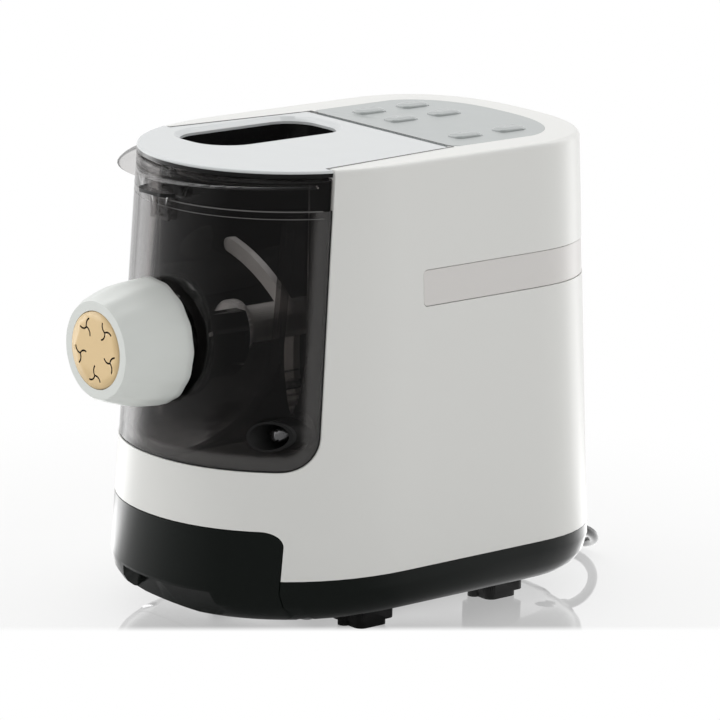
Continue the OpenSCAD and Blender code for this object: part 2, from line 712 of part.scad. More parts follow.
// A mixing arm: an arc that passes over the hub and leans away to its round tip
module mixing_arm() {
    centre = [0, hub_r + arm_w / 2] - arm_curve_r * [sin(arm_lift), cos(arm_lift)];
    d = norm(centre);
    reach = arm_reach - arm_w / 2;
    start = atan2(-centre[1], -centre[0]);
    tip = start + acos((arm_curve_r * arm_curve_r + d * d - reach * reach) / (2 * arm_curve_r * d));
    translate(centre) {
        intersection() {
            difference() {
                circle(arm_curve_r + arm_w / 2, $fn = 256);
                circle(arm_curve_r - arm_w / 2, $fn = 256);
            }
            polygon([[0, 0], far * [cos(start), sin(start)], far * [cos(tip), sin(tip)]]);
        }
        for (a = [start, tip]) rotate(a) translate([arm_curve_r, 0]) circle(arm_w / 2, $fn = 48);
    }
}
collar_r = 17;
module mixing_paddle() color([0.72, 0.72, 0.72])
    on_axis() difference() {
        union() {
            rod_y(hub_front_y, hub_rear_y, hub_r);
            rod_y(hub_front_y, hub_front_y + 5, collar_r);
            for (i = [0 : 2]) prism_y(arm_ys[i], arm_ys[i] + arm_t) rotate(i * 120) mixing_arm();
        }
        prism_y(hub_front_y + 3, hub_rear_y + 1) square(square_w, center = true);
    }
auger_tip_y = die_back_y + 1.5;
auger_r = tube_bore_r - 0.5;
auger_core_r = 9;
auger_pitch = 22;
flight_front_y = auger_tip_y + 3;
flight_turns = 3;
flight_steps = 20;
// Helical flight: a tapered fin swept round the core
module flight() {
    n = flight_turns * flight_steps;
    function ring(i) = let (a = 360 * i / flight_steps, y = flight_front_y + auger_pitch * i / flight_steps)
        [for (p = [[auger_core_r - 1.5, -2.6], [auger_r, -1.2], [auger_r, 1.2], [auger_core_r - 1.5, 2.6]])
            [p[0] * cos(a), y + p[1], p[0] * sin(a)]];
    polyhedron(
        points = [for (i = [0 : n]) each ring(i)],
        faces = concat([[0, 1, 2, 3]], [[4 * n + 3, 4 * n + 2, 4 * n + 1, 4 * n]],
            [for (i = [0 : n - 1]) for (j = [0 : 3]) let (k = (j + 1) % 4, a = 4 * i)
                each [[a + j, a + 4 + j, a + 4 + k], [a + j, a + 4 + k, a + k]]]));
}
module auger() color([0.78, 0.78, 0.78])
    on_axis() {
        rod_y(auger_tip_y, hub_front_y, auger_core_r);
        translate([0, hub_front_y - 8, 0]) rotate([-90, 0, 0])
            cylinder(h = 8, r1 = auger_core_r, r2 = collar_r);
        flight();
    }
gear_y = liner_rear_y + liner_t + 8;                    // front face of the output gear
gear_t = 10;
wheel_y = gear_y + gear_t + 2.5;
wheel_t = 7;
box_front_y = liner_rear_y + liner_t + 2.5;
box_wall = 3;
box_rear_y = wheel_y + wheel_t + 2.5;
cover_plate_t = 4;
shaft_end_y = box_rear_y + cover_plate_t + 4;
module output_shaft() color("silver")
    on_axis() {
        prism_y(hub_front_y + 4, hub_rear_y + 0.2 + eps) square(square_w - 0.3, center = true);
        rod_y(hub_rear_y + 0.2, shaft_end_y, shaft_r);
    }

// ---- gears ----
// Spur wheel outline with straight-sided teeth; a tooth is centred on angle 0
module gear_outline(teeth, module_size) {
    r = teeth * module_size / 2;
    tip = r + 0.9 * module_size;
    root = r - 1.15 * module_size;
    half = 90 / teeth * 0.9;
    at_tip = half - 0.9 * module_size * tan(20) / tip * 180 / PI;
    at_root = half + 1.15 * module_size * tan(16) / root * 180 / PI;
    polygon([for (i = [0 : teeth - 1]) let (a = 360 * i / teeth)
        each [root * [cos(a - at_root), sin(a - at_root)], tip * [cos(a - at_tip), sin(a - at_tip)],
              tip * [cos(a + at_tip), sin(a + at_tip)], root * [cos(a + at_root), sin(a + at_root)]]]);
}
output_r = output_teeth * output_module / 2;
second_r = second_pinion_teeth * output_module / 2;
wheel_r = wheel_teeth * motor_module / 2;
motor_pinion_r = motor_pinion_teeth * motor_module / 2;
second_z = axis_z - output_r - second_r;
motor_z = second_z - wheel_r - motor_pinion_r;
axle_r = 4;
rotor_shaft_r = 2.5;
gear_hub_r = 13;
web_cut = 3;
// Turn that puts a gap of the lower wheel against the tooth above it
function mesh_turn(teeth) = 90 - 180 / teeth;
module output_gear() color("ivory")
    on_axis() difference() {
        union() {
            prism_y(gear_y, gear_y + gear_t) rotate(-90) gear_outline(output_teeth, output_module);
            rod_y(gear_y - 1.5, gear_y + gear_t + 1.5, gear_hub_r);
        }
        // the web is thinner than the rim and the hub
        for (y = [gear_y - 1, gear_y + gear_t - web_cut]) difference() {
            rod_y(y, y + web_cut + 1, output_r - 6);
            rod_y(y - 1, y + web_cut + 2, gear_hub_r);
        }
        rod_y(gear_y - 5, gear_y + gear_t + 5, shaft_r);
    }
module intermediate_gear() color("ivory")
    translate([0, 0, second_z]) difference() {
        union() {
            prism_y(gear_y - 0.5, wheel_y + eps) rotate(mesh_turn(second_pinion_teeth))
                gear_outline(second_pinion_teeth, output_module);
            prism_y(wheel_y, wheel_y + wheel_t) rotate(-90) gear_outline(wheel_teeth, motor_module);
        }
        rod_y(gear_y - 5, wheel_y + wheel_t + 5, axle_r + run);
        difference() {
            rod_y(wheel_y + wheel_t - web_cut, wheel_y + wheel_t + 1, wheel_r - 5);
            rod_y(wheel_y, wheel_y + wheel_t + 2, axle_r + 4);
        }
    }
module intermediate_axle() color("silver")
    rod_y(box_front_y + 0.5, box_rear_y + cover_plate_t - 0.5, axle_r, 0, second_z);
module motor_pinion() color("goldenrod")
    translate([0, 0, motor_z]) difference() {
        prism_y(wheel_y - 0.8, wheel_y + wheel_t + 0.8) rotate(mesh_turn(motor_pinion_teeth))
            gear_outline(motor_pinion_teeth, motor_module);
        rod_y(wheel_y - 5, wheel_y + wheel_t + 5, rotor_shaft_r);
    }
motor_front_y = box_rear_y + cover_plate_t;
motor_rear_y = motor_front_y + motor_l;
can_t = 2;
bearing_boss_r = 8;
module motor_rotor() color("peru")
    translate([0, 0, motor_z]) {
        rod_y(wheel_y - 1.2, motor_rear_y + 11, rotor_shaft_r);
        difference() {
            rod_y(motor_front_y + 12, motor_rear_y - 16, motor_r - 9);
            for (i = [0 : 7]) rotate([0, 45 * i, 0]) translate([-1.2, motor_front_y + 10, motor_r - 13])
                cube([2.4, motor_l, 10]);
        }
        rod_y(motor_rear_y - 14, motor_rear_y - 6, 9);
    }
module motor_fan() color("dimgray")
    translate([0, 0, motor_z]) difference() {
        union() {
            rod_y(motor_rear_y + 1.5, motor_rear_y + 3, motor_r - 7);
            rod_y(motor_rear_y + 1.5, motor_rear_y + 9, 6);
            for (i = [0 : 8]) rotate([0, 40 * i, 0]) translate([-0.8, motor_rear_y + 2, 5])
                cube([1.6, 7, motor_r - 12.5]);
        }
        rod_y(motor_rear_y, motor_rear_y + 12, rotor_shaft_r);
    }
module motor_can() color("lightsteelblue")
    translate([0, 0, motor_z]) difference() {
        rod_y(motor_front_y, motor_rear_y, motor_r);
        rod_y(motor_front_y + can_t + 1, motor_rear_y - can_t, motor_r - 6);
        rod_y(motor_front_y - 1, motor_rear_y + 1, rotor_shaft_r + run);
        for (i = [0 : 5]) rotate([0, 60 * i + 30, 0]) translate([-4, motor_rear_y - can_t - 1, 12])
            cube([8, 5, 12]);
    }

// ---- gearbox ----
bolt_r = 2;
gearbox_bolts = [[-42, axis_z + 36], [42, axis_z + 36], [-33.5, second_z - 16.5], [33.5, second_z - 16.5]];
module gearbox_plan(grow) {
    translate([0, axis_z]) circle(output_r + 3.5 + grow);
    translate([0, second_z]) circle(wheel_r + 3.5 + grow);
    translate([0, motor_z]) circle(motor_pinion_r + 4 + grow);
    translate([-motor_pinion_r - 4 - grow, motor_z])
        square([2 * (motor_pinion_r + 4 + grow), second_z - motor_z]);
}
module gearbox_ears() for (p = gearbox_bolts) translate(p) circle(6);
bearing_r = 14;
bearing_t = 6;
module gearbox_housing() color("darkgray")
    difference() {
        union() {
            prism_y(box_front_y, box_rear_y) gearbox_plan(box_wall);
            prism_y(liner_rear_y + liner_t, box_front_y + 8) gearbox_ears();
            prism_y(box_rear_y - 8, box_rear_y) gearbox_ears();
        }
        difference() {
            prism_y(box_front_y + box_wall, box_rear_y + 1) gearbox_plan(0);
            rod_y(box_front_y, box_front_y + box_wall + 1, bearing_r + 2, 0, axis_z);
            rod_y(box_front_y, gear_y - 0.8, axle_r + 3, 0, second_z);
        }
        rod_y(box_front_y - 1, box_front_y + 4, bearing_r, 0, axis_z);
        rod_y(box_front_y - 1, gear_y, shaft_r + 1, 0, axis_z);
        rod_y(box_front_y + 0.5, gear_y, axle_r, 0, second_z);
        for (p = gearbox_bolts) rod_y(0, far, bolt_r + 0.1, p[0], p[1]);
    }
module gearbox_cover() color("darkgray")
    difference() {
        prism_y(box_rear_y, box_rear_y + cover_plate_t) {
            gearbox_plan(box_wall);
            gearbox_ears();
            translate([0, motor_z]) circle(motor_r);
        }
        rod_y(box_rear_y - 1, box_rear_y + cover_plate_t + 1, bearing_r - 1, 0, axis_z);
        rod_y(box_rear_y - 1, box_rear_y + cover_plate_t - 0.5, axle_r, 0, second_z);
        rod_y(box_rear_y - 1, box_rear_y + cover_plate_t + 1, rotor_shaft_r + 1, 0, motor_z);
        for (p = gearbox_bolts) rod_y(0, far, bolt_r + 0.1, p[0], p[1]);
    }
module bearing(y0, r) on_axis() difference() {
    rod_y(y0, y0 + 4, r);
    rod_y(y0 - 1, y0 + 5, shaft_r + run);
}
module shaft_bearings() color("tan") {
    bearing(box_front_y, bearing_r);
    bearing(box_rear_y, bearing_r - 1);
}
seal_r = 11;
module shaft_seal() color([0.1, 0.1, 0.1])
    on_axis() difference() {
        rod_y(liner_rear_y, liner_rear_y + liner_t, seal_r);
        rod_y(0, far, shaft_r + run);
    }
module gearbox_screws() color("silver")
    for (p = gearbox_bolts) {
        rod_y(liner_rear_y + 0.2, box_rear_y + cover_plate_t, bolt_r, p[0], p[1]);
        rod_y(box_rear_y + cover_plate_t, box_rear_y + cover_plate_t + 2.5, 3.8, p[0], p[1]);
    }

// ---- electrics ----
power_board_size = [95, 92, 1.6];
control_board_size = [128, 78, 1.6];
module power_board() color("darkolivegreen") {
    translate([-63, 54, floor_z + 8]) cube(power_board_size);
    translate([-60, 70, floor_z + 9.6 - eps]) cube([34, 28, 16]);
    translate([-10, 78, floor_z + 9.6 - eps]) cube([18, 26, 10]);
    translate([-38, 122, floor_z + 9.6 - eps]) cylinder(h = 18, r = 8);
    translate([0, 122, floor_z + 9.6 - eps]) cylinder(h = 12, r = 6);
}
board_z = deck_z - 7;
switch_h = 3.4;
module control_board() color("darkolivegreen")
    translate([-control_board_size[0] / 2, 52, board_z - control_board_size[2]]) cube(control_board_size);
module key_switches() color("black")
    for (i = [0 : 5]) translate([button_at(i)[0], button_at(i)[1], board_z]) {
        translate([-3, -3, 0]) cube([6, 6, switch_h - 1]);
        cylinder(h = switch_h, r = 1.6);
    }
module control_panel() color("silver")
    difference() {
        translate([0, 0, body_h - panel_plate_t]) linear_extrude(panel_plate_t) panel_plan(0.15);
        for (i = [0 : 5]) translate([button_at(i)[0], button_at(i)[1], 0]) linear_extrude(far)
            round_rect(button_w + 0.7, button_l + 0.7, 4.35);
    }
button_dome = 1.9;
module button(i) color("lightgray") translate([button_at(i)[0], button_at(i)[1], 0]) {
    top = body_h - panel_plate_t - 0.3;
    stem_z = board_z + switch_h + button_travel + 0.3;
    translate([0, 0, top - 1.4]) linear_extrude(1.4) round_rect(button_w + 3, button_l + 3, 3);
    translate([0, 0, top - eps]) linear_extrude(panel_plate_t + 0.3) round_rect(button_w, button_l, 4);
    translate([0, 0, body_h - eps]) hull() {
        linear_extrude(0.3) round_rect(button_w, button_l, 4, $fn = 32);
        translate([0, 0, button_dome - 0.8]) linear_extrude(0.3)
            round_rect(button_w - 2.4, button_l - 3, 3.4, $fn = 32);
        translate([0, 0, button_dome - 0.3]) linear_extrude(0.3)
            round_rect(button_w - 5.4, button_l - 7, 2.6, $fn = 32);
    }
    translate([0, 0, stem_z]) cylinder(h = top - 1.3 - stem_z, r = 2.4);
}
module button_1() button(0);
module button_2() button(1);
module button_3() button(2);
module button_4() button(3);
module button_5() button(4);
module button_6() button(5);

// ---- lid ----
lid_gap = seam_gap;
module lid_panel() color("whitesmoke")
    difference() {
        union() {
            intersection() {
                loft([[panel_z, 0.3], [body_h - 1, 0.3], [body_h - 0.3, 0.7], [body_h, 1.4]]);
                union() {
                    prism_x() polygon(cover_outline(0));
                    linear_extrude(far) lid_plan(lid_gap, corner_y - 8, hinge_y);
                }
            }
            translate([-lid_half_w(hinge_y) + lid_gap, hinge_y, hinge_z]) rotate([0, 90, 0])
                cylinder(h = 2 * (lid_half_w(hinge_y) - lid_gap), r = hinge_r);
        }
        translate([0, 0, panel_z - 1]) linear_extrude(far) slot_plan();
        // bevel round the slot
        hull() {
            translate([0, 0, body_h - 2.4]) linear_extrude(0.1) slot_plan(0, $fn = 32);
            translate([0, 0, body_h + 0.1]) linear_extrude(0.1) slot_plan(slot_bevel, $fn = 32);
        }
        both_sides() translate([lid_half_w(hinge_y) - lid_gap - 9, hinge_y, hinge_z]) rotate([0, 90, 0])
            cylinder(h = 12, r = hinge_pin_r + run);
    }
visor_drop = 10.5;
visor_z = body_h - visor_drop;
visor_t = 2.4;
skirt_top_z = panel_z - 1.6;
hook_drop = 11.6;
module lid_skirt() color([0.3, 0.3, 0.32], 0.5) {
    intersection() {
        union() {
            skin(skirt_z + 0.2, skirt_top_z, 0.4, clear_t + 0.2);
            // inner ring that carries the panel
            difference() {
                loft([[skirt_top_z - 2.4, clear_t], [panel_z, clear_t + 0.5]]);
                loft([[skirt_top_z - 5, clear_t + 9], [panel_z + 5, clear_t + 9]]);
            }
        }
        prism_x() polygon(cover_outline(0));
        translate([-far, -far, 0]) cube([2 * far, 2 * far, panel_z]);
    }
    difference() {
        // visor: springs from the sides and reaches forward at the middle
        intersection() {
            loft([[visor_z, 0.6, visor_reach - 1.5], [visor_z + 0.8, 0.4, visor_reach],
                  [visor_z + visor_t, 0.6, visor_reach - 2.5]]);
            translate([-far, -far, 0]) cube([2 * far, far - 72, far]);
        }
        loft([[visor_z - 5, clear_t + 0.1], [visor_z + 8, clear_t + 0.1]]);
        translate([-far, -far, visor_z + visor_t]) cube([2 * far, 2 * far, 50]);
    }
    // thumb tongue with its ledge and the hook below it
    difference() {
        intersection() {
            translate([-20, -far, skirt_z + 4]) cube([40, far, visor_z - skirt_z - 4 + eps]);
            loft([[skirt_z - 5, -2.4], [visor_z + 1, -7]]);
        }
        loft([[skirt_z - 6, 0.5], [visor_z + 5, 0.5]]);
    }
    difference() {
        translate([0, front_y(skirt_z) - 3, skirt_z + 4]) linear_extrude(2.2) hull()
            for (s = [-1, 1]) translate([s * 7, 0]) circle(8.5, $fn = 32);
        loft([[skirt_z - 6, 1.4], [visor_z + 5, 1.4]]);
    }
    for (s = [-1, 1]) translate([s * 6.5 - 2, front_y(skirt_z) - 3.6, skirt_z - hook_drop])
        cube([4, 2.3, hook_drop + 5]);
    translate([-8.5, front_y(skirt_z) - 3.6, skirt_z - hook_drop]) cube([17, 2.3, 1.8]);
}
chute_t = 2;
chute_z = skirt_z + 1;
module hopper_chute() color([0.12, 0.12, 0.13])
    translate([0, 0, chute_z]) difference() {
        linear_extrude(panel_z - chute_z) slot_plan(chute_t);
        translate([0, 0, -1]) linear_extrude(far) slot_plan(0.3);
    }
module hinge_pins() color("silver")
    both_sides() translate([lid_half_w(hinge_y) - lid_gap - 8, hinge_y, hinge_z]) rotate([0, 90, 0])
        cylinder(h = 8 + lid_gap + 7.5, r = hinge_pin_r);
module lid_switch() color("black")
    translate([lid_half_w(-40) + 1, -50, deck_z - 12]) {
        cube([6, 20, 12]);
        translate([1.5, -1.5, 3]) cube([3, 2, 6]);
    }

// ---- cord ----
strain_end_y = 165;
cord_rest_z = cord_d / 2 + 0.8;
coil_at = [-84, 200];
coil_mid_r = 34.8;
coil_out_r = coil_mid_r + cord_d;
lead_in = [[50, 165, 25], [50, 169, 25], [50, 175, 24], [49.5, 181, 21.8], [48.2, 186.4, 18.8],
           [45.6, 191.2, 15.3], [41.6, 195.2, 11.8], [36, 198, 8.7], [29.5, 199.5, 6.2], [22, 199.6, 4.6],
           [13, 198.6, 4], [4, 196.6, 4], [-6, 193.8, 4], [-16, 190.4, 4], [-26, 186.6, 4], [-36, 182.2, 4],
           [-47, 177, 4]];
lead_out = [[-120, 217, 9], [-120, 222, 8.8], [-120, 227, 8.2], [-120, 232, 7.5], [-120, 237, 7.2]];
cord_sides = 10;
function unit(v) = v / norm(v);
// Direction of the route at point i, from its neighbours
function heading(path, i) = unit(path[min(i + 1, len(path) - 1)] - path[max(i - 1, 0)]);
function tube_ring(path, i) =
    let (t = heading(path, i), side = unit(cross(t, [0, 0, 1])), up = cross(side, t))
    [for (k = [0 : cord_sides - 1]) let (a = 360 * k / cord_sides)
        path[i] + cord_d / 2 * (side * cos(a) + up * sin(a))];
module cord_tube(path) {
    n = len(path);
    s = cord_sides;
    polyhedron(
        points = [for (i = [0 : n - 1]) each tube_ring(path, i)],
        faces = concat([[for (k = [0 : s - 1]) k]], [[for (k = [s - 1 : -1 : 0]) (n - 1) * s + k]],
            [for (i = [0 : n - 2]) for (k = [0 : s - 1]) let (m = (k + 1) % s, a = i * s)
                each [[a + k, a + s + k, a + s + m], [a + k, a + s + m, a + m]]]));
}
module mains_cord() color([0.05, 0.05, 0.05]) {
    cord_tube(lead_in);
    cord_tube(lead_out);
}
module cord_coil() color([0.05, 0.05, 0.05])
    translate([coil_at[0], coil_at[1], 0.8]) rotate_extrude()
        translate([coil_mid_r, cord_d]) round_rect(2 * cord_d, 2 * cord_d, 2.4);
module cord_tie() color([0.12, 0.12, 0.12])
    translate([coil_at[0], coil_at[1], 0]) rotate(35) translate([coil_mid_r, 0, cord_d + 0.8])
        rotate([90, 0, 0]) linear_extrude(6, center = true) difference() {
            round_rect(2 * cord_d + 1.6, 2 * cord_d + 1.6, 3.1);
            round_rect(2 * cord_d, 2 * cord_d, 2.4);
        }
module strain_relief() color([0.06, 0.06, 0.06])
    translate([cord_x, 0, cord_z]) rotate([-90, 0, 0]) rotate_extrude()
        polygon([[0, niche_front_y - 4.5], [6.4, niche_front_y - 4.5], [6.4, niche_front_y - 2.7],
                 [4.9, niche_front_y - 2.7], [4.9, niche_front_y + 0.2], [6.6, niche_front_y + 0.2],
                 [6.6, niche_front_y + 2.4], [5.6, niche_front_y + 3.4], [cord_d / 2 + 0.9, strain_end_y],
                 [0, strain_end_y]]);
plug_at = lead_out[len(lead_out) - 1];
plug_w = 35;
plug_l = 36;
plug_h = 13.6;
pin_pitch = 18.6;
pin_l = 20;
module plug() color([0.06, 0.06, 0.06])
    translate(plug_at) {
        rod_y(0, 9, 4.6);
        translate([0, 9 - eps, 0]) hull() {
            translate([0, 1, 0]) cube([14, 2, 9], center = true);
            translate([0, 10, 0]) cube([plug_w - 5, 2, plug_h], center = true);
            translate([0, plug_l - 10, 0]) cube([plug_w, 2, plug_h], center = true);
            translate([0, plug_l - 1, 0]) cube([plug_w - 3, 2, plug_h - 1], center = true);
        }
        both_sides() rod_y(8 + plug_l, 8 + plug_l + pin_l, 2, pin_pitch / 2);
    }

housing_shell();
base_tub();
feet();
base_screws();
rear_band();
bay_liner();
mixing_chamber();
chamber_gasket();
front_cover();
cover_seal();
cover_studs();
stud_grommets();
extrusion_tube();
pasta_die();
nozzle_cap();
mixing_paddle();
auger();
output_shaft();
output_gear();
intermediate_gear();
intermediate_axle();
motor_pinion();
motor_rotor();
motor_fan();
motor_can();
gearbox_housing();
gearbox_cover();
shaft_bearings();
shaft_seal();
gearbox_screws();
power_board();
control_panel();
control_board();
key_switches();
button_1();
button_2();
button_3();
button_4();
button_5();
button_6();
lid_panel();
lid_skirt();
hopper_chute();
hinge_pins();
lid_switch();
drawer_front();
drawer_tray();
spare_dies();
strain_relief();
mains_cord();
cord_coil();
cord_tie();
plug();
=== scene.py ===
"""Looks of an electric pasta maker: its finishes, the mains cord, painted shade in the lid's gaps, painted
highlights on the cover's ribs, a pale floor and soft light.
"""

import json
import math

import bmesh
import bpy
from mathutils import Matrix, Vector


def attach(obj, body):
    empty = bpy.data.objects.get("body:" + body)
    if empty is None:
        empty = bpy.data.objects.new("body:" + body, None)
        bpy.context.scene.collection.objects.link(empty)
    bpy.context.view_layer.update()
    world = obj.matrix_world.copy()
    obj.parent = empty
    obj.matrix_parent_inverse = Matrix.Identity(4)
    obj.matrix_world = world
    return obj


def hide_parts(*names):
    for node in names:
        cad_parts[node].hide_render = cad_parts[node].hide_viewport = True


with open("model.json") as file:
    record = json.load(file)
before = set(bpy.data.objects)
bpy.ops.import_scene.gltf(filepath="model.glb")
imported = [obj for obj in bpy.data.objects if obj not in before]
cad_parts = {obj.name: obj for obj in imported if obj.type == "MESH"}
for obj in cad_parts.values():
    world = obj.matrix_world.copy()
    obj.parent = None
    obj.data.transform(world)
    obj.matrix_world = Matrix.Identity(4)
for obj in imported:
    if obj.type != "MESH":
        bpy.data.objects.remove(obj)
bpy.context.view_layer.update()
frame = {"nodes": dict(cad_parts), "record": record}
scene = bpy.context.scene
record = frame["record"]
BODY_OF = {node: body for body, nodes in record["behaviour"]["bodies"].items() for node in nodes}
MM = 0.001

# ---- camera ----
CAMERA_TURN = math.radians(50.076)  # from straight ahead of the nozzle, towards +X
CAMERA_RISE = math.radians(13.9)
CAMERA_ROLL = math.radians(1.217)
CAMERA_DISTANCE = 3.0018
CAMERA_LENS = 241.73
SENSOR_WIDTH = 36.0
FAR_CLIP = 50.0
AIM_POINT = Vector((0.0, 0.031, 0.150))
AIM_DROP = 0.0048  # the aim point shows this far under the middle of the view


def make_camera():
    """Camera ahead of the right side, a little above the deck and slightly rolled."""
    back = Vector((math.sin(CAMERA_TURN) * math.cos(CAMERA_RISE),
                   -math.cos(CAMERA_TURN) * math.cos(CAMERA_RISE),
                   math.sin(CAMERA_RISE)))
    level = Vector((math.cos(CAMERA_TURN), math.sin(CAMERA_TURN), 0.0))
    upright = back.cross(level)
    right = level * math.cos(CAMERA_ROLL) + upright * math.sin(CAMERA_ROLL)
    up = upright * math.cos(CAMERA_ROLL) - level * math.sin(CAMERA_ROLL)
    data = bpy.data.cameras.new("camera")
    data.lens = CAMERA_LENS
    data.sensor_width = SENSOR_WIDTH
    data.clip_end = FAR_CLIP
    camera = bpy.data.objects.new("camera", data)
    scene.collection.objects.link(camera)
    place = AIM_POINT + back * CAMERA_DISTANCE - up * AIM_DROP
    camera.matrix_world = Matrix.Translation(place) @ Matrix((right, up, back)).transposed().to_4x4()
    scene.camera = camera


make_camera()


# ---- shader helpers ----
def new_material(name):
    """A material, with its node tree and its main shader."""
    material = bpy.data.materials.new(name)
    material.use_nodes = True
    return material, material.node_tree, material.node_tree.nodes["Principled BSDF"]


def feed(tree, value, socket):
    """Gives a socket its value: another socket's output, or a plain number."""
    if isinstance(value, (int, float)):
        socket.default_value = value
    else:
        tree.links.new(value, socket)


def joined(tree, operation, first, second=0.0):
    """Result of a sum on two values, each an output or a number."""
    node = tree.nodes.new("ShaderNodeMath")
    node.operation = operation
    feed(tree, first, node.inputs[0])
    feed(tree, second, node.inputs[1])
    return node.outputs["Value"]


def measured(tree, operation, place, direction=(0.0, 0.0, 0.0)):
    """The length of a vector, or how far it reaches along a direction."""
    node = tree.nodes.new("ShaderNodeVectorMath")
    node.operation = operation
    node.inputs[1].default_value = direction
    tree.links.new(place, node.inputs[0])
    return node.outputs["Value"]


def ranged(tree, value, start, end, low=0.0, high=1.0, smooth=False):
    """Turns a value that runs from start to end into one that runs from low to high."""
    node = tree.nodes.new("ShaderNodeMapRange")
    if smooth:
        node.interpolation_type = "SMOOTHSTEP"
    for name, number in (("From Min", start), ("From Max", end), ("To Min", low), ("To Max", high)):
        node.inputs[name].default_value = number
    tree.links.new(value, node.inputs["Value"])
    return node.outputs["Result"]


def mixed(tree, share, first, second):
    """Two shaders blended: share is the second one's."""
    blend = tree.nodes.new("ShaderNodeMixShader")
    feed(tree, share, blend.inputs["Fac"])
    tree.links.new(first, blend.inputs[1])
    tree.links.new(second, blend.inputs[2])
    return blend.outputs["Shader"]


def glow(tree, strength):
    """White light given off with a strength."""
    node = tree.nodes.new("ShaderNodeEmission")
    feed(tree, strength, node.inputs["Strength"])
    return node.outputs["Emission"]


def own_place(tree):
    """A point's place in the piece's own space, so that a pattern doesn't slide when the piece moves."""
    return tree.nodes.new("ShaderNodeTexCoord").outputs["Object"]


def noise(tree, scale, detail=3.0, squeeze=None):
    """Noise over a piece, with its patches made narrow in the direction of a large squeeze."""
    place = own_place(tree)
    if squeeze:
        mapping = tree.nodes.new("ShaderNodeMapping")
        mapping.inputs["Scale"].default_value = squeeze
        tree.links.new(place, mapping.inputs["Vector"])
        place = mapping.outputs["Vector"]
    texture = tree.nodes.new("ShaderNodeTexNoise")
    texture.inputs["Scale"].default_value = scale
    texture.inputs["Detail"].default_value = detail
    tree.links.new(place, texture.inputs["Vector"])
    return texture.outputs["Fac"]


NOISE_RANGE = (0.3, 0.7)  # a noise seldom leaves this range
BUMP_DEPTH = 0.0002


def vary(tree, factor, low, high, socket):
    """Feeds a socket with a value that follows a noise between low and high."""
    tree.links.new(ranged(tree, factor, *NOISE_RANGE, low, high), socket)


def tint(tree, factor, colour, depth, socket):
    """Feeds a colour socket with the colour, darkened by up to depth where the noise is low."""
    mix = tree.nodes.new("ShaderNodeMix")
    mix.data_type = "RGBA"
    mix.inputs["A"].default_value = (*[part * (1.0 - depth) for part in colour], 1.0)
    mix.inputs["B"].default_value = (*colour, 1.0)
    tree.links.new(factor, mix.inputs["Factor"])
    tree.links.new(mix.outputs["Result"], socket)


def bumps(tree, height, strength, shader):
    """Lets a finish look as if its surface followed a noise."""
    bump = tree.nodes.new("ShaderNodeBump")
    bump.inputs["Strength"].default_value = strength
    bump.inputs["Distance"].default_value = BUMP_DEPTH
    tree.links.new(height, bump.inputs["Height"])
    tree.links.new(bump.outputs["Normal"], shader.inputs["Normal"])


# ---- kinds of finish ----
COLOUR_PATCHES, GLOSS_PATCHES = 9.0, 45.0  # scales of the noises that a plastic's colour and gloss follow
METAL_PATCHES, METAL_LINES = 30.0, 260.0  # the same for a metal's colour, and for its fine lines
METAL_SHADE, METAL_GROOVES = 0.12, 0.12
METAL_GLOSS, METAL_DULL = 0.06, 0.08  # how far its roughness goes under and over the middle
FINE_DETAIL = 2.0


def plastic(name, colour, roughness, spread=0.03, shade=0.03, grain=0.05, grain_size=1400.0, mirror=0.5):
    """Moulded plastic: a faint drift of colour (shade) and gloss (spread), and a fine mould grain."""
    material, tree, shader = new_material(name)
    shader.inputs["Specular IOR Level"].default_value = mirror
    tint(tree, noise(tree, COLOUR_PATCHES), colour, shade, shader.inputs["Base Color"])
    low, high = roughness - spread, roughness + spread
    vary(tree, noise(tree, GLOSS_PATCHES), low, high, shader.inputs["Roughness"])
    bumps(tree, noise(tree, grain_size, FINE_DETAIL), grain, shader)
    return material


def metal(name, colour, roughness, squeeze=(1.0, 60.0, 1.0)):
    """Turned or rolled metal: fine lines run across the direction in which the noise is squeezed."""
    material, tree, shader = new_material(name)
    shader.inputs["Metallic"].default_value = 1.0
    tint(tree, noise(tree, METAL_PATCHES), colour, METAL_SHADE, shader.inputs["Base Color"])
    lines = noise(tree, METAL_LINES, FINE_DETAIL, squeeze)
    vary(tree, lines, roughness - METAL_GLOSS, roughness + METAL_DULL, shader.inputs["Roughness"])
    bumps(tree, lines, METAL_GROOVES, shader)
    return material


SKIN_MIRROR = 0.04  # share that a clear skin mirrors square on
SLANT_POWER = 5.0  # how steeply that share grows towards a slant
PATH_LOSS, PATH_LEAST = 0.8, 0.3  # a slanted way through the skin counts as longer, up to a limit
CLEAR_SPREAD = 0.2  # drift of its roughness, as a share
# pale grey that paints the glow of light along a clear edge
EDGE_GLOW_GREY = (0.50, 0.49, 0.48, 1.0)


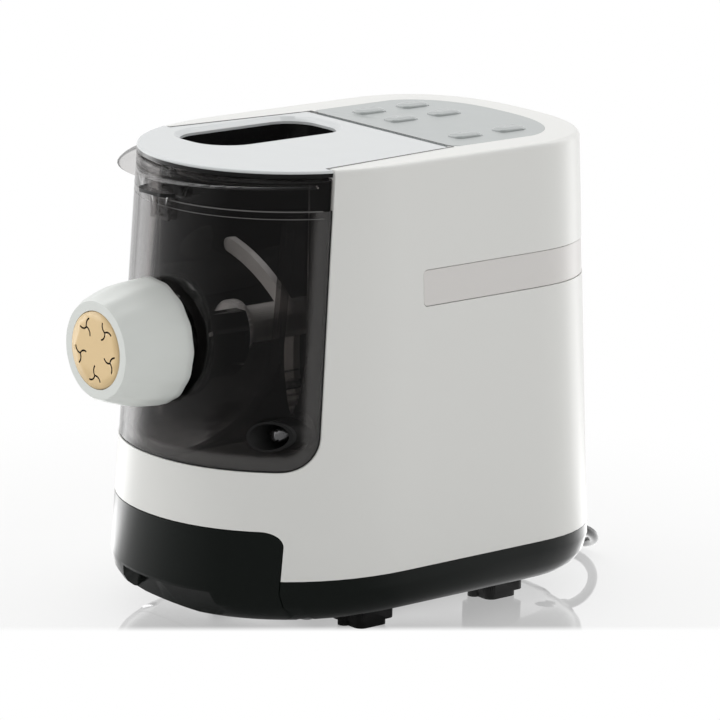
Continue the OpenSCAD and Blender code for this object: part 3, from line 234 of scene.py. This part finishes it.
def clear(name, tone, hue, roughness=0.02, edge_glow_mask=None):
    """Thin smoke-tinted clear plastic: tone is what one skin lets through square on, less at a slant.

    An optional function adds a painted edge glow, a pale diffuse grey, and gives its share at a place."""
    material, tree, shader = new_material(name)
    nodes, links = tree.nodes, tree.links
    nodes.remove(shader)
    facing = nodes.new("ShaderNodeLayerWeight").outputs["Facing"]
    mirrored = joined(tree, "MULTIPLY", joined(tree, "POWER", facing, SLANT_POWER), 1.0 - SKIN_MIRROR)
    mirrored = joined(tree, "ADD", mirrored, SKIN_MIRROR)
    path = joined(tree, "SUBTRACT", 1.0, joined(tree, "MULTIPLY", facing, PATH_LOSS))
    path = joined(tree, "MAXIMUM", path, PATH_LEAST)
    smoke = nodes.new("ShaderNodeMix")
    smoke.data_type = "RGBA"
    smoke.inputs["A"].default_value = (0.0, 0.0, 0.0, 1.0)
    smoke.inputs["B"].default_value = (*hue, 1.0)
    links.new(joined(tree, "POWER", tone, joined(tree, "DIVIDE", 1.0, path)), smoke.inputs["Factor"])
    through = nodes.new("ShaderNodeBsdfTransparent")
    links.new(smoke.outputs["Result"], through.inputs["Color"])
    body = through.outputs["BSDF"]
    # a pale diffuse grey mixed in along an edge paints the glow of light there
    if edge_glow_mask:
        glow_grey = nodes.new("ShaderNodeBsdfDiffuse")
        glow_grey.inputs["Color"].default_value = EDGE_GLOW_GREY
        body = mixed(tree, edge_glow_mask(tree), body, glow_grey.outputs["BSDF"])
    gloss = nodes.new("ShaderNodeBsdfGlossy")
    low, high = roughness * (1.0 - CLEAR_SPREAD), roughness * (1.0 + CLEAR_SPREAD)
    vary(tree, noise(tree, GLOSS_PATCHES), low, high, gloss.inputs["Roughness"])
    skin = mixed(tree, mirrored, body, gloss.outputs["BSDF"])
    links.new(skin, nodes["Material Output"].inputs["Surface"])
    return material


# The cover's outline from the side, in metres
COVER_Z = 0.110  # its foot
COVER_EDGE_Y = -0.0746  # its rear edge, at the foot
COVER_LEAN = math.tan(math.radians(4.1))  # how that edge leans back as it rises
COVER_CORNER = 0.017  # radius of the corner between the two
EDGE_GLOW_WIDTH = (0.0065, 0.0095)  # the painted edge glow is full up to the first and gone at the second
# share of that pale grey on the cover's edge, a painted edge glow
EDGE_GLOW_SHARE = 0.10


def cover_edge_glow(tree):
    """Share of painted edge glow, a pale grey, along the cover's rear edge and its foot, where it laps over
    the housing.
    """
    place = tree.nodes.new("ShaderNodeSeparateXYZ")
    tree.links.new(own_place(tree), place.inputs["Vector"])
    above = joined(tree, "SUBTRACT", place.outputs["Z"], COVER_Z)
    ahead = joined(tree, "SUBTRACT", joined(tree, "MULTIPLY", above, COVER_LEAN), place.outputs["Y"])
    ahead = joined(tree, "ADD", ahead, COVER_EDGE_Y)
    squares = []
    for inside in (above, ahead):
        short = joined(tree, "MAXIMUM", joined(tree, "SUBTRACT", COVER_CORNER, inside), 0.0)
        squares.append(joined(tree, "MULTIPLY", short, short))
    corner = joined(tree, "SQRT", joined(tree, "ADD", *squares))
    from_edge = joined(tree, "SUBTRACT", COVER_CORNER, corner)
    return ranged(tree, from_edge, *EDGE_GLOW_WIDTH, EDGE_GLOW_SHARE, 0.0, smooth=True)


# ---- finishes ----
WHITE = plastic("white_gloss_plastic", (0.80, 0.80, 0.775), 0.30, spread=0.01, shade=0.008, grain=0.02)
LID_WHITE = plastic("lid_white_plastic", (0.66, 0.68, 0.685), 0.26, spread=0.01, shade=0.008, grain=0.02)
CAP_WHITE = plastic("cap_white_plastic", (0.76, 0.785, 0.755), 0.34, spread=0.02, shade=0.015, grain=0.02)
LINER = plastic("bay_plastic", (0.014, 0.0135, 0.013), 0.40, grain=0.0, mirror=0.3)
BAND = plastic("band_plastic", (0.74, 0.72, 0.70), 0.30, spread=0.01, shade=0.01)
BLACK = plastic("black_gloss_plastic", (0.005, 0.0075, 0.006), 0.20, shade=0.1, grain=0.03, mirror=0.45)
BLACK_SATIN = plastic("black_satin_plastic", (0.020, 0.021, 0.020), 0.42, shade=0.2, grain=0.1)
RUBBER = plastic("black_rubber", (0.014, 0.014, 0.014), 0.55, shade=0.3, grain=0.3, grain_size=900.0)
SMOKE = clear("smoke_clear_plastic", 0.80, (1.0, 0.985, 0.98))
# the cover's smoke plastic, with a painted edge glow along its rear edge and foot
SMOKE_EDGE_GLOW = clear("smoke_cover_plastic_with_painted_edge_glow", 0.80, (1.0, 0.985, 0.98), edge_glow_mask=cover_edge_glow)
SMOKE_THIN = clear("smoke_visor_plastic", 0.93, (1.0, 0.99, 0.985))
SMOKE_INNER = clear("smoke_chamber_plastic", 0.82, (1.0, 0.975, 0.96), 0.03)
SMOKE_SEAL = clear("smoke_seal_silicone", 0.66, (1.0, 0.98, 0.97), 0.10)
# dark smoke plastic of the chute and the tube; the same dark paints shade on the lid plate's lower edge,
# along the visor rims and in the gaps round the lid
SMOKE_DARK_AND_SHADE = plastic("smoke_dark_plastic_and_painted_shade", (0.010, 0.010, 0.010), 0.15, spread=0.04, grain=0.02)
# grey for the lines in the cover's wall: a painted highlight where its rim ribs catch light
RIB_HIGHLIGHT = plastic("rib_painted_highlight", (0.13, 0.128, 0.125), 0.2, grain=0.0)
# painted shade on the walls inside the die's openings
OPENING_SHADE = plastic("die_opening_shade", (0.035, 0.018, 0.010), 0.6, grain=0.0)
GOLD = plastic("pale_gold_plastic", (0.84, 0.62, 0.33), 0.36, shade=0.05, grain=0.08)
MIXER = plastic("grey_mixer_plastic", (0.76, 0.75, 0.73), 0.25, grain=0.03)
NYLON = plastic("natural_nylon", (0.72, 0.70, 0.62), 0.45)
BOARD = plastic("green_circuit_board", (0.02, 0.12, 0.05), 0.35, shade=0.3)
PANEL = plastic("silver_panel_plastic", (0.43, 0.455, 0.45), 0.30, spread=0.02, shade=0.02, grain=0.04)
BUTTON = plastic("silver_button_plastic", (0.42, 0.445, 0.44), 0.22, spread=0.02, shade=0.02, grain=0.02)
CORD = plastic("black_cord_plastic", (0.010, 0.010, 0.011), 0.30, shade=0.2, grain=0.1, grain_size=700.0)
STEEL = metal("turned_steel", (0.62, 0.62, 0.63), 0.25)
PLATED = metal("plated_steel", (0.52, 0.53, 0.54), 0.34)
BRASS = metal("cut_brass", (0.72, 0.55, 0.26), 0.30)
BRONZE = metal("sintered_bronze", (0.48, 0.33, 0.17), 0.50)
ALLOY = metal("die_cast_alloy", (0.55, 0.55, 0.56), 0.48, (1.0, 1.0, 1.0))
ROTOR = metal("rotor_steel", (0.42, 0.27, 0.17), 0.36, (60.0, 1.0, 60.0))

# ---- cord: the route's points repeat those of the solid, in millimetres ----
CORD_D = 6.2
LEAD_IN = [(50, 165, 25), (50, 169, 25), (50, 175, 24), (49.5, 181, 21.8), (48.2, 186.4, 18.8),
           (45.6, 191.2, 15.3), (41.6, 195.2, 11.8), (36, 198, 8.7), (29.5, 199.5, 6.2),
           (22, 199.6, 4.6), (13, 198.6, 4), (4, 196.6, 4), (-6, 193.8, 4), (-16, 190.4, 4),
           (-26, 186.6, 4), (-36, 182.2, 4), (-47, 177, 4)]
LEAD_OUT = [(-120, 217, 9), (-120, 222, 8.8), (-120, 227, 8.2), (-120, 232, 7.5), (-120, 237, 7.2)]
COIL_AT = (-84, 200)
COIL_MID_R = 34.8  # between its inner and its outer turns
COIL_START = -62.0  # in degrees from +X
COIL_TURNS = 3.4
COIL_LOW = 0.8 + CORD_D / 2  # height of the lower turns
COIL_STEPS = 36  # to a turn
COIL_INWARDS, COIL_UP, COIL_OUTWARDS = 0.86, 1.86, 2.86  # turns after which the cord changes its place
COIL_CHANGE = 0.2  # share of a turn that a change takes
LINE_PARTS = 4  # straight parts between two points of the route
CORD_ROUNDNESS = 5


def coil_points():
    """Clockwise turns: outside, inside, up onto the inside, then out along the top."""
    points = []
    steps = int(COIL_TURNS * COIL_STEPS)
    for step in range(steps + 1):
        turn = COIL_TURNS * step / steps
        changes = [min(max((turn - start) / COIL_CHANGE, 0.0), 1.0)
                   for start in (COIL_INWARDS, COIL_OUTWARDS, COIL_UP)]
        inwards, outwards, rise = (change * change * (3 - 2 * change) for change in changes)
        radius = COIL_MID_R + CORD_D / 2 - CORD_D * inwards + CORD_D * outwards
        angle = math.radians(COIL_START - 360.0 * turn)
        points.append((COIL_AT[0] + radius * math.cos(angle), COIL_AT[1] + radius * math.sin(angle),
                       COIL_LOW + CORD_D * rise))
    return points


def smooth_path(points, parts):
    """A smooth line through the points, as closely set points."""
    points = [Vector(point) for point in points]
    ends = [2 * points[0] - points[1]] + points + [2 * points[-1] - points[-2]]
    line = []
    for a, b, c, d in zip(ends, ends[1:], ends[2:], ends[3:]):
        for part in range(parts):
            t = part / parts
            line.append(0.5 * (2 * b + (c - a) * t + (2 * a - 5 * b + 4 * c - d) * t * t
                               + (3 * b - 3 * c + d - a) * t ** 3))
    return line + [points[-1]]


def make_cord():
    """The mains cord as one round line, and its length in metres."""
    line = smooth_path([*LEAD_IN, *coil_points()[1:], *LEAD_OUT], LINE_PARTS)
    curve = bpy.data.curves.new("mains_lead", "CURVE")
    curve.dimensions = "3D"
    curve.bevel_depth = CORD_D / 2 * MM
    curve.bevel_resolution = CORD_ROUNDNESS
    curve.use_fill_caps = True
    spline = curve.splines.new("POLY")
    spline.points.add(len(line) - 1)
    for point, place in zip(spline.points, line):
        point.co = (*(place * MM), 1.0)
    spline.use_smooth = True
    cord = bpy.data.objects.new("mains_lead", curve)
    scene.collection.objects.link(cord)
    curve.materials.append(CORD)
    length = sum((end - start).length for start, end in zip(line, line[1:])) * MM
    return cord, length


lead, lead_length = make_cord()
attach(lead, "chassis")
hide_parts("mains_cord", "cord_coil")

# ---- the body's walls ----
# Shape of the body's plan, in metres: half width, front end and rear end, each at the floor and at the deck
DECK = 0.290
HALF_W = (0.1083, 0.0906)
FRONT_END = (-0.1356, -0.1225)
REAR_END = (0.1746, 0.1650)
FRONT_ROUND, REAR_ROUND = -0.0172, 0.0892  # the sides are straight between these
FRONT_POWER, REAR_POWER = 2.1, 2.5
WALLS = ("housing_shell", "base_tub", "drawer_front", "rear_band", "front_cover", "lid_panel", "lid_skirt",
         "cover_seal")
LEVEL_FACE, STEEP_FACE = 0.02, 0.2  # a face that looks sideways by less is level, by more is a wall
ON_WALL = 0.996  # how closely a face of the smooth wall follows its direction
BESIDE_WALL = 0.95  # and a face of a step or rim along it, seen from above


def plan_at(height):
    """Half width, front end and rear end of the body's plan at a height."""
    share = height / DECK
    return [low + (high - low) * share for low, high in (HALF_W, FRONT_END, REAR_END)]


def reach_out(place):
    """How far out a place ahead of the middle lies: 1 is on the body's wall, more is outside it."""
    half_w, front, _ = plan_at(place.z)
    along = max(0.0, FRONT_ROUND - place.y) / (FRONT_ROUND - front)
    return (abs(place.x) / half_w) ** FRONT_POWER + along ** FRONT_POWER


def wall_facing(place):
    """Direction in which the body's outer wall faces at a place on it, its taper included."""
    half_w, front, rear = plan_at(place.z)
    tilt, front_tilt, rear_tilt = ((high - low) / DECK for low, high in (HALF_W, FRONT_END, REAR_END))
    if FRONT_ROUND <= place.y <= REAR_ROUND:
        return Vector((math.copysign(1.0, place.x), 0.0, -tilt)).normalized()
    if place.y < FRONT_ROUND:
        power, reach, along, growth = FRONT_POWER, FRONT_ROUND - front, FRONT_ROUND - place.y, -front_tilt
    else:
        power, reach, along, growth = REAR_POWER, rear - REAR_ROUND, place.y - REAR_ROUND, rear_tilt
    across = (abs(place.x) / half_w) ** (power - 1) / half_w
    ahead = (along / reach) ** (power - 1) / reach
    rise = -across * abs(place.x) / half_w * tilt - ahead * along / reach * growth
    ahead = math.copysign(ahead, place.y - FRONT_ROUND)
    return Vector((math.copysign(across, place.x), ahead, rise)).normalized()


def true_corner(corner, place, face_normal, level):
    """A corner's direction, turned to the smooth body's where its face lies on the wall or along it."""
    facing = wall_facing(place)
    if abs(facing.dot(face_normal)) > ON_WALL:
        return facing * math.copysign(1.0, facing.dot(face_normal))
    facing = Vector((facing.x, facing.y, 0.0)).normalized()
    match = facing.dot(level)
    if abs(match) < BESIDE_WALL:
        return corner
    side = math.copysign(math.sqrt(max(0.0, 1.0 - corner.z * corner.z)), match)
    return Vector((facing.x * side, facing.y * side, corner.z))


def true_walls(mesh):
    """Lets the facets of the body's walls shade as the smooth body, and its level faces as flat."""
    corners = [corner.vector.copy() for corner in mesh.corner_normals]
    for face in mesh.polygons:
        level = Vector((face.normal.x, face.normal.y, 0.0))
        if level.length < LEVEL_FACE:
            for loop in face.loop_indices:
                corners[loop] = face.normal.copy()
        if level.length < STEEP_FACE:
            continue
        level.normalize()
        for loop in face.loop_indices:
            place = mesh.vertices[mesh.loops[loop].vertex_index].co
            corners[loop] = true_corner(corners[loop], place, face.normal, level)
    mesh.normals_split_custom_set(corners)


# ---- edges painted darker as shade, or made clearer, than the rest of their piece ----
# Heights and places in metres
PLATE_Z = 0.2884  # under this the lid plate's edge is painted dark, as the shadow line under the plate
SLOT_AT, SLOT_HALF = (-0.037, -0.023), (0.032, 0.056)  # middle and half size of the field round the slot
AXIS_Z = 0.180  # the mixer's axis, which runs through the die's middle
OPENINGS_R = 0.0215  # the die's openings lie inside this circle
VISOR_Z = (0.2793, 0.2820)  # underside and top
VISOR_SLACK = 0.0001  # takes in the underside
LEDGE_Z = (0.2698, 0.2724)
WALL_SLANT = 0.3  # a wall leans by less than this
RIM_SIDEWAYS, RIM_UP = 0.4, 0.2  # a rim looks sideways by more, and up by less
RIM_REACH, VISOR_REACH = 1.03, 1.01  # the least that reach_out gives for them: 1 is the body's wall


def plate_edge_shade(centre, normal):
    """The lower part of the lid plate's outer edge, and its straight sides in the seams, painted dark as the
    shadow under the plate.
    """
    in_slot = abs(centre.x - SLOT_AT[0]) < SLOT_HALF[0] and abs(centre.y - SLOT_AT[1]) < SLOT_HALF[1]
    return not in_slot and centre.z < PLATE_Z and abs(normal.z) < WALL_SLANT


def opening_wall_shade(centre, normal):
    """The walls of the die's five openings, painted dark as the shade inside them."""
    return abs(normal.y) < WALL_SLANT and math.hypot(centre.x, centre.z - AXIS_Z) < OPENINGS_R


def visor_rim_painted_dark(centre, normal):
    """The rims of the visor and of the thumb ledge, painted dark for how dark the clear plate looks when one
    looks along it there.
    """
    in_rim = any(low < centre.z < high for low, high in (VISOR_Z, LEDGE_Z))
    sideways = math.hypot(normal.x, normal.y) > RIM_SIDEWAYS and normal.z < RIM_UP
    return in_rim and sideways and reach_out(centre) > RIM_REACH


def visor_plate(centre, normal):
    """Both faces of the visor, which is thinner than the ring that carries it."""
    return VISOR_Z[0] - VISOR_SLACK < centre.z < VISOR_Z[1] and reach_out(centre) > VISOR_REACH


EDGES = {
    "lid_panel": ((plate_edge_shade, SMOKE_DARK_AND_SHADE),),
    "pasta_die": ((opening_wall_shade, OPENING_SHADE),),
    "lid_skirt": ((visor_rim_painted_dark, SMOKE_DARK_AND_SHADE), (visor_plate, SMOKE_THIN)),
}
CUTS = {"lid_panel": PLATE_Z}  # heights at which a wall is cut in two, for two finishes: its own above, painted shade below

# ---- every node's finish, and the widest bend in degrees that shades as one smooth wall ----
DRESS = {
    "housing_shell": (WHITE, 25),
    "lid_panel": (LID_WHITE, 25),
    "nozzle_cap": (CAP_WHITE, 28),
    "bay_liner": (LINER, 35),
    "rear_band": (BAND, 25),
    "base_tub": (BLACK, 25),
    "drawer_front": (BLACK, 25),
    "drawer_tray": (BLACK_SATIN, None),
    "cord_tie": (BLACK_SATIN, None),
    "lid_switch": (BLACK_SATIN, None),
    "key_switches": (BLACK_SATIN, None),
    "motor_fan": (BLACK_SATIN, None),
    "feet": (RUBBER, 35),
    "chamber_gasket": (SMOKE_SEAL, 35),
    # a black strip filling the gap between the cover and the housing, which makes that gap read as a dark
    # line
    "cover_seal": (RUBBER, 25),
    "stud_grommets": (RUBBER, 35),
    "shaft_seal": (RUBBER, None),
    "front_cover": (SMOKE_EDGE_GLOW, 25),
    "lid_skirt": (SMOKE, 25),
    "mixing_chamber": (SMOKE_INNER, 35),
    "hopper_chute": (SMOKE_DARK_AND_SHADE, 35),
    "extrusion_tube": (SMOKE_DARK_AND_SHADE, 35),
    "pasta_die": (GOLD, 35),
    "spare_dies": (GOLD, None),
    "mixing_paddle": (MIXER, 35),
    "auger": (MIXER, 40),
    "output_shaft": (STEEL, 35),
    "intermediate_axle": (STEEL, None),
    "cover_studs": (STEEL, 35),
    "base_screws": (STEEL, None),
    "gearbox_screws": (STEEL, None),
    "hinge_pins": (STEEL, None),
    "output_gear": (NYLON, None),
    "intermediate_gear": (NYLON, None),
    "motor_pinion": (BRASS, None),
    "motor_rotor": (ROTOR, None),
    "motor_can": (PLATED, None),
    "gearbox_housing": (ALLOY, None),
    "gearbox_cover": (ALLOY, None),
    "shaft_bearings": (BRONZE, None),
    "power_board": (BOARD, None),
    "control_board": (BOARD, None),
    "control_panel": (PANEL, 30),
    **{f"button_{number}": (BUTTON, 40) for number in range(1, 7)},
    "strain_relief": (CORD, 35),
    "mains_cord": (CORD, None),
    "cord_coil": (CORD, None),
    "plug": (CORD, None),
}
MERGE = 2e-6  # corners closer than this are one


def smooth_copy(node, bend):
    """A copy of a solid's mesh with its loose triangles joined, so that curved walls shade smoothly."""
    mesh = frame["nodes"][node].data.copy()
    mesh.name = "smooth_" + node
    work = bmesh.new()
    work.from_mesh(mesh)
    bmesh.ops.remove_doubles(work, verts=work.verts, dist=MERGE)
    if node in CUTS:
        everything = [*work.verts, *work.edges, *work.faces]
        bmesh.ops.bisect_plane(
            work, geom=everything, plane_co=(0.0, 0.0, CUTS[node]), plane_no=(0.0, 0.0, 1.0))
    for face in work.faces:
        face.smooth = True
    work.to_mesh(mesh)
    work.free()
    mesh.set_sharp_from_angle(angle=math.radians(bend))
    if node in WALLS:
        true_walls(mesh)
    piece = bpy.data.objects.new("smooth_" + node, mesh)
    scene.collection.objects.link(piece)
    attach(piece, BODY_OF[node])
    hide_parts(node)
    return piece


def dress(node, finish, bend):
    """Gives a node its finish, and its edges theirs."""
    piece = smooth_copy(node, bend) if bend else frame["nodes"][node]
    edges = EDGES.get(node, ())
    piece.data.materials.clear()
    for material in (finish, *(shade for _, shade in edges)):
        piece.data.materials.append(material)
    if not edges:
        return
    for face in piece.data.polygons:
        wears = [belongs(face.center, face.normal) for belongs, _ in edges]
        face.material_index = wears.index(True) + 1 if True in wears else 0


for node, (finish, bend) in DRESS.items():
    dress(node, finish, bend)


def added_piece(name, work, finish, body):
    """Makes a finished form a piece of its own that moves with a body."""
    bmesh.ops.recalc_face_normals(work, faces=work.faces)
    mesh = bpy.data.meshes.new(name)
    work.to_mesh(mesh)
    work.free()
    mesh.materials.append(finish)
    piece = bpy.data.objects.new(name, mesh)
    scene.collection.objects.link(piece)
    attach(piece, body)


def lift(work, extruded, height):
    """Moves the new end of an extrusion up."""
    upper = [part for part in extruded["geom"] if isinstance(part, bmesh.types.BMVert)]
    bmesh.ops.translate(work, vec=(0.0, 0.0, height), verts=upper)


# ---- painted shade in the gaps round the lid, in metres ----
LID_CORNER_Y, LID_SPLIT_Y = -0.0617, 0.0355  # beside the lid, the painted gap shade moves with it between these
DECK_EDGE_Y = (0.0438, 0.0445)
DECK_SIDE_X = (0.0682, 0.0688)
LID_GAP = ((0.0766, 0.0009), (0.0679, 0.0006))  # the gap's middle and half width, at the corner and the deck
GAP_SHADE_Z, GAP_SHADE_THICKNESS = 0.29002, 0.00015  # the painted shade strips lie just on the deck


def gaps_beside():
    """The gaps beside the lid, as one four-cornered outline on each side."""
    rows = []
    for y in (LID_CORNER_Y, LID_SPLIT_Y):
        share = (y - LID_CORNER_Y) / (DECK_EDGE_Y[1] - LID_CORNER_Y)
        middle, half = (front + (rear - front) * share for front, rear in zip(*LID_GAP))
        rows.append(((middle - half, y), (middle + half, y)))
    outline = [rows[0][0], rows[0][1], rows[1][1], rows[1][0]]
    return outline, [(-x, y) for x, y in outline]


def gaps_behind():
    """The gap behind the lid and its two short ends beside the hinge, as outlines."""
    (inner, outer), (front, rear) = DECK_SIDE_X, DECK_EDGE_Y
    side = [(inner, LID_SPLIT_Y), (outer, LID_SPLIT_Y), (outer, front), (inner, front)]
    across = [(-outer, front), (outer, front), (outer, rear), (-outer, rear)]
    return side, [(-x, y) for x, y in side], across


def gap_shade_strip(name, body, outlines):
    """Painted shade for the shadowed gap at the lid: hair-thin dark sheets on the deck."""
    work = bmesh.new()
    for outline in outlines:
        work.faces.new([work.verts.new((x, y, GAP_SHADE_Z)) for x, y in outline])
    lift(work, bmesh.ops.extrude_face_region(work, geom=work.faces[:]), GAP_SHADE_THICKNESS)
    added_piece(name, work, SMOKE_DARK_AND_SHADE, body)


gap_shade_strip("lid_gap_shade", "lid", gaps_beside())
gap_shade_strip("deck_gap_shade", "chassis", gaps_behind())

# ---- ribs along the cover's upper rim, drawn as grey lines that paint the highlight they catch, in metres ----
RIBS = {  # height, thickness, and how far round towards the sides they reach
    "cover_rib_upper": (0.2655, 0.0008, 0.98),
    "cover_rib_lower": (0.2612, 0.0005, 0.80),
}
RIB_STEPS = 48
RIB_INSET, RIB_DEPTH = 0.0004, 0.0004  # how far inside the wall its line runs, and how deep it is
RIB_END_GAP = 0.0015  # left free before the cover's rear edge


def front_line(height, share):
    """Points round the front of the body at a height, a little inside its wall."""
    half_w, front, _ = plan_at(height)
    points = []
    for step in range(RIB_STEPS + 1):
        angle = math.radians(90.0 * share) * (2.0 * step / RIB_STEPS - 1.0)
        x = math.copysign((half_w - RIB_INSET) * abs(math.sin(angle)) ** (2 / FRONT_POWER), angle)
        y = FRONT_ROUND + (front + RIB_INSET - FRONT_ROUND) * math.cos(angle) ** (2 / FRONT_POWER)
        points.append((x, y, height))
    rear = COVER_EDGE_Y + (height - COVER_Z) * COVER_LEAN - RIB_END_GAP
    return [point for point in points if point[1] < rear]


def cover_rib(name, height, thickness, share):
    """A fine grey line round the cover, let into its wall: a painted highlight along its rim rib."""
    work = bmesh.new()
    line = [work.verts.new(point) for point in front_line(height, share)]
    edges = [work.edges.new(pair) for pair in zip(line, line[1:])]
    lift(work, bmesh.ops.extrude_edge_only(work, edges=edges), thickness)
    bmesh.ops.recalc_face_normals(work, faces=work.faces)
    bmesh.ops.solidify(work, geom=work.faces[:], thickness=RIB_DEPTH)
    added_piece(name, work, RIB_HIGHLIGHT, "chassis")


for name, (height, thickness, share) in RIBS.items():
    cover_rib(name, height, thickness, share)

# ---- light: what each kind of ray meets round the object ----
TO_CAMERA = (0.767, -0.642, 0.0)  # level direction from the object
SCATTERED_LIGHT = (1.50, 0.40)  # strength behind the object and on the camera's side
SHINE_MOST = 3.0
SHINE = (  # what gloss mirrors: from where (0 behind the object, 1 at the camera), and share of the most
    (0.0, 0.33), (0.12, 0.4), (0.18, 1.0), (0.27, 1.0), (0.35, 0.5),
    (0.44, 0.26), (0.55, 0.17), (0.70, 0.10), (0.90, 0.045),
)


def shine(tree, direction):
    """Brightness that gloss mirrors from a direction: a soft box behind on the left, dim ahead."""
    level = tree.nodes.new("ShaderNodeVectorMath")
    level.operation = "NORMALIZE"
    tree.links.new(direction, level.inputs[0])
    towards = measured(tree, "DOT_PRODUCT", level.outputs["Vector"], TO_CAMERA)
    ramp = tree.nodes.new("ShaderNodeValToRGB")
    stops = ramp.color_ramp.elements
    stops.remove(stops[1])
    for at, value in SHINE:
        stop = stops[0] if at == 0.0 else stops.new(at)
        stop.position = at
        stop.color = (value, value, value, 1.0)
    tree.links.new(ranged(tree, towards, -1.0, 1.0), ramp.inputs["Fac"])
    return joined(tree, "MULTIPLY", ramp.outputs["Color"], SHINE_MOST)


def seen_ray(tree):
    """1 for what the eye sees directly, in a reflection or through a clear part, 0 for scattered light."""
    rays = tree.nodes.new("ShaderNodeLightPath").outputs
    seen = joined(tree, "MAXIMUM", rays["Is Camera Ray"], rays["Is Glossy Ray"])
    return joined(tree, "MAXIMUM", seen, rays["Is Transmission Ray"])


def by_ray(tree, scattered, direction):
    """Plain white for the eye and in a sharp mirror, the shine in gloss, and scattered light otherwise.

    What is seen through refracting parts is the shine too, but never more than white."""
    rays = tree.nodes.new("ShaderNodeLightPath").outputs
    sharp = rays["Is Singular Ray"]
    bright = joined(tree, "MULTIPLY", shine(tree, direction), joined(tree, "SUBTRACT", 1.0, sharp))
    bright = joined(tree, "ADD", bright, sharp)
    glossy = joined(tree, "MULTIPLY", bright, rays["Is Glossy Ray"])
    through = joined(tree, "MULTIPLY", joined(tree, "MINIMUM", bright, 1.0), rays["Is Transmission Ray"])
    seen = joined(tree, "ADD", joined(tree, "ADD", glossy, through), rays["Is Camera Ray"])
    unseen = joined(tree, "MULTIPLY", scattered, joined(tree, "SUBTRACT", 1.0, seen_ray(tree)))
    return joined(tree, "ADD", seen, unseen)


# ---- floor, world and lamp ----
FLOOR_SIZE = 14.0
FLOOR_WHITE = (0.88, 0.88, 0.875, 1.0)
FLOOR_GLOW, GLOW_SHARE = 1.26, 0.55  # the sheet is lit from below
MIRROR_SHARE = 0.45  # and the camera sees a mirror image in it
FLOOR_FADE = (0.22, 0.48)  # the sheet fades to plain white between these distances from the middle
FLOOR_FRONT = (0.813, -0.582, 0.0)
FLOOR_EDGE = (0.070, 0.084)  # it ends between these distances in front of the middle, along FLOOR_FRONT
CLEAR_SKINS = 32  # clear skins that a look passes through at most


def floor_material():
    """Lit glass-like sheet: white, with a soft contact shadow and a reflection, fading to plain white."""
    material, tree, shader = new_material("pale_floor")
    shader.inputs["Base Color"].default_value = FLOOR_WHITE
    shader.inputs["Roughness"].default_value = 1.0
    shader.inputs["Specular IOR Level"].default_value = 0.0
    mirror = tree.nodes.new("ShaderNodeBsdfGlossy")
    mirror.inputs["Roughness"].default_value = 0.0
    eye = tree.nodes.new("ShaderNodeLightPath").outputs["Is Camera Ray"]
    place = own_place(tree)
    glow_share = joined(tree, "MULTIPLY", eye, GLOW_SHARE)
    mirror_share = joined(tree, "MULTIPLY", eye, MIRROR_SHARE)
    lit = mixed(tree, glow_share, shader.outputs["BSDF"], glow(tree, FLOOR_GLOW))
    sheet = mixed(tree, mirror_share, lit, mirror.outputs["BSDF"])
    faded = ranged(tree, measured(tree, "LENGTH", place), *FLOOR_FADE, smooth=True)
    ended = ranged(tree, measured(tree, "DOT_PRODUCT", place, FLOOR_FRONT), *FLOOR_EDGE, smooth=True)
    far = joined(tree, "MULTIPLY", joined(tree, "MAXIMUM", faded, ended), eye)
    plain = joined(tree, "MAXIMUM", far, joined(tree, "SUBTRACT", seen_ray(tree), eye))
    surface = mixed(tree, plain, sheet, glow(tree, by_ray(tree, 0.0, place)))
    tree.links.new(surface, tree.nodes["Material Output"].inputs["Surface"])
    return material


def make_floor():
    """The sheet that the object stands on."""
    bpy.ops.mesh.primitive_plane_add(size=FLOOR_SIZE, location=(0.0, 0.0, 0.0))
    floor = bpy.context.object
    floor.name = "floor"
    floor.data.materials.append(floor_material())


def make_world():
    """White behind the object, dimmer on the camera's side; plain white where it is seen directly."""
    world = bpy.data.worlds.new("studio")
    world.use_nodes = True
    tree = world.node_tree
    background = tree.nodes["Background"]
    background.inputs["Color"].default_value = (1.0, 1.0, 1.0, 1.0)
    direction = tree.nodes.new("ShaderNodeTexCoord").outputs["Generated"]
    towards = measured(tree, "DOT_PRODUCT", direction, TO_CAMERA)
    scattered = ranged(tree, towards, -1.0, 1.0, *SCATTERED_LIGHT)
    tree.links.new(by_ray(tree, scattered, direction), background.inputs["Strength"])
    scene.world = world


def area_light(name, place, aim, width, height, power):
    """A rectangular lamp at a place, turned towards its aim."""
    data = bpy.data.lights.new(name, "AREA")
    data.shape = "RECTANGLE"
    data.size = width
    data.size_y = height
    data.energy = power
    lamp = bpy.data.objects.new(name, data)
    scene.collection.objects.link(lamp)
    lamp.location = place
    lamp.rotation_euler = (Vector(aim) - Vector(place)).to_track_quat("-Z", "Y").to_euler()


make_floor()
make_world()
area_light("left_strip", place=(-1.6, -1.3, 0.9), aim=(0.0, 0.0, 0.15), width=0.5, height=1.4, power=6.0)

scene.view_settings.view_transform = "Standard"
scene.cycles.transparent_max_bounces = CLEAR_SKINS
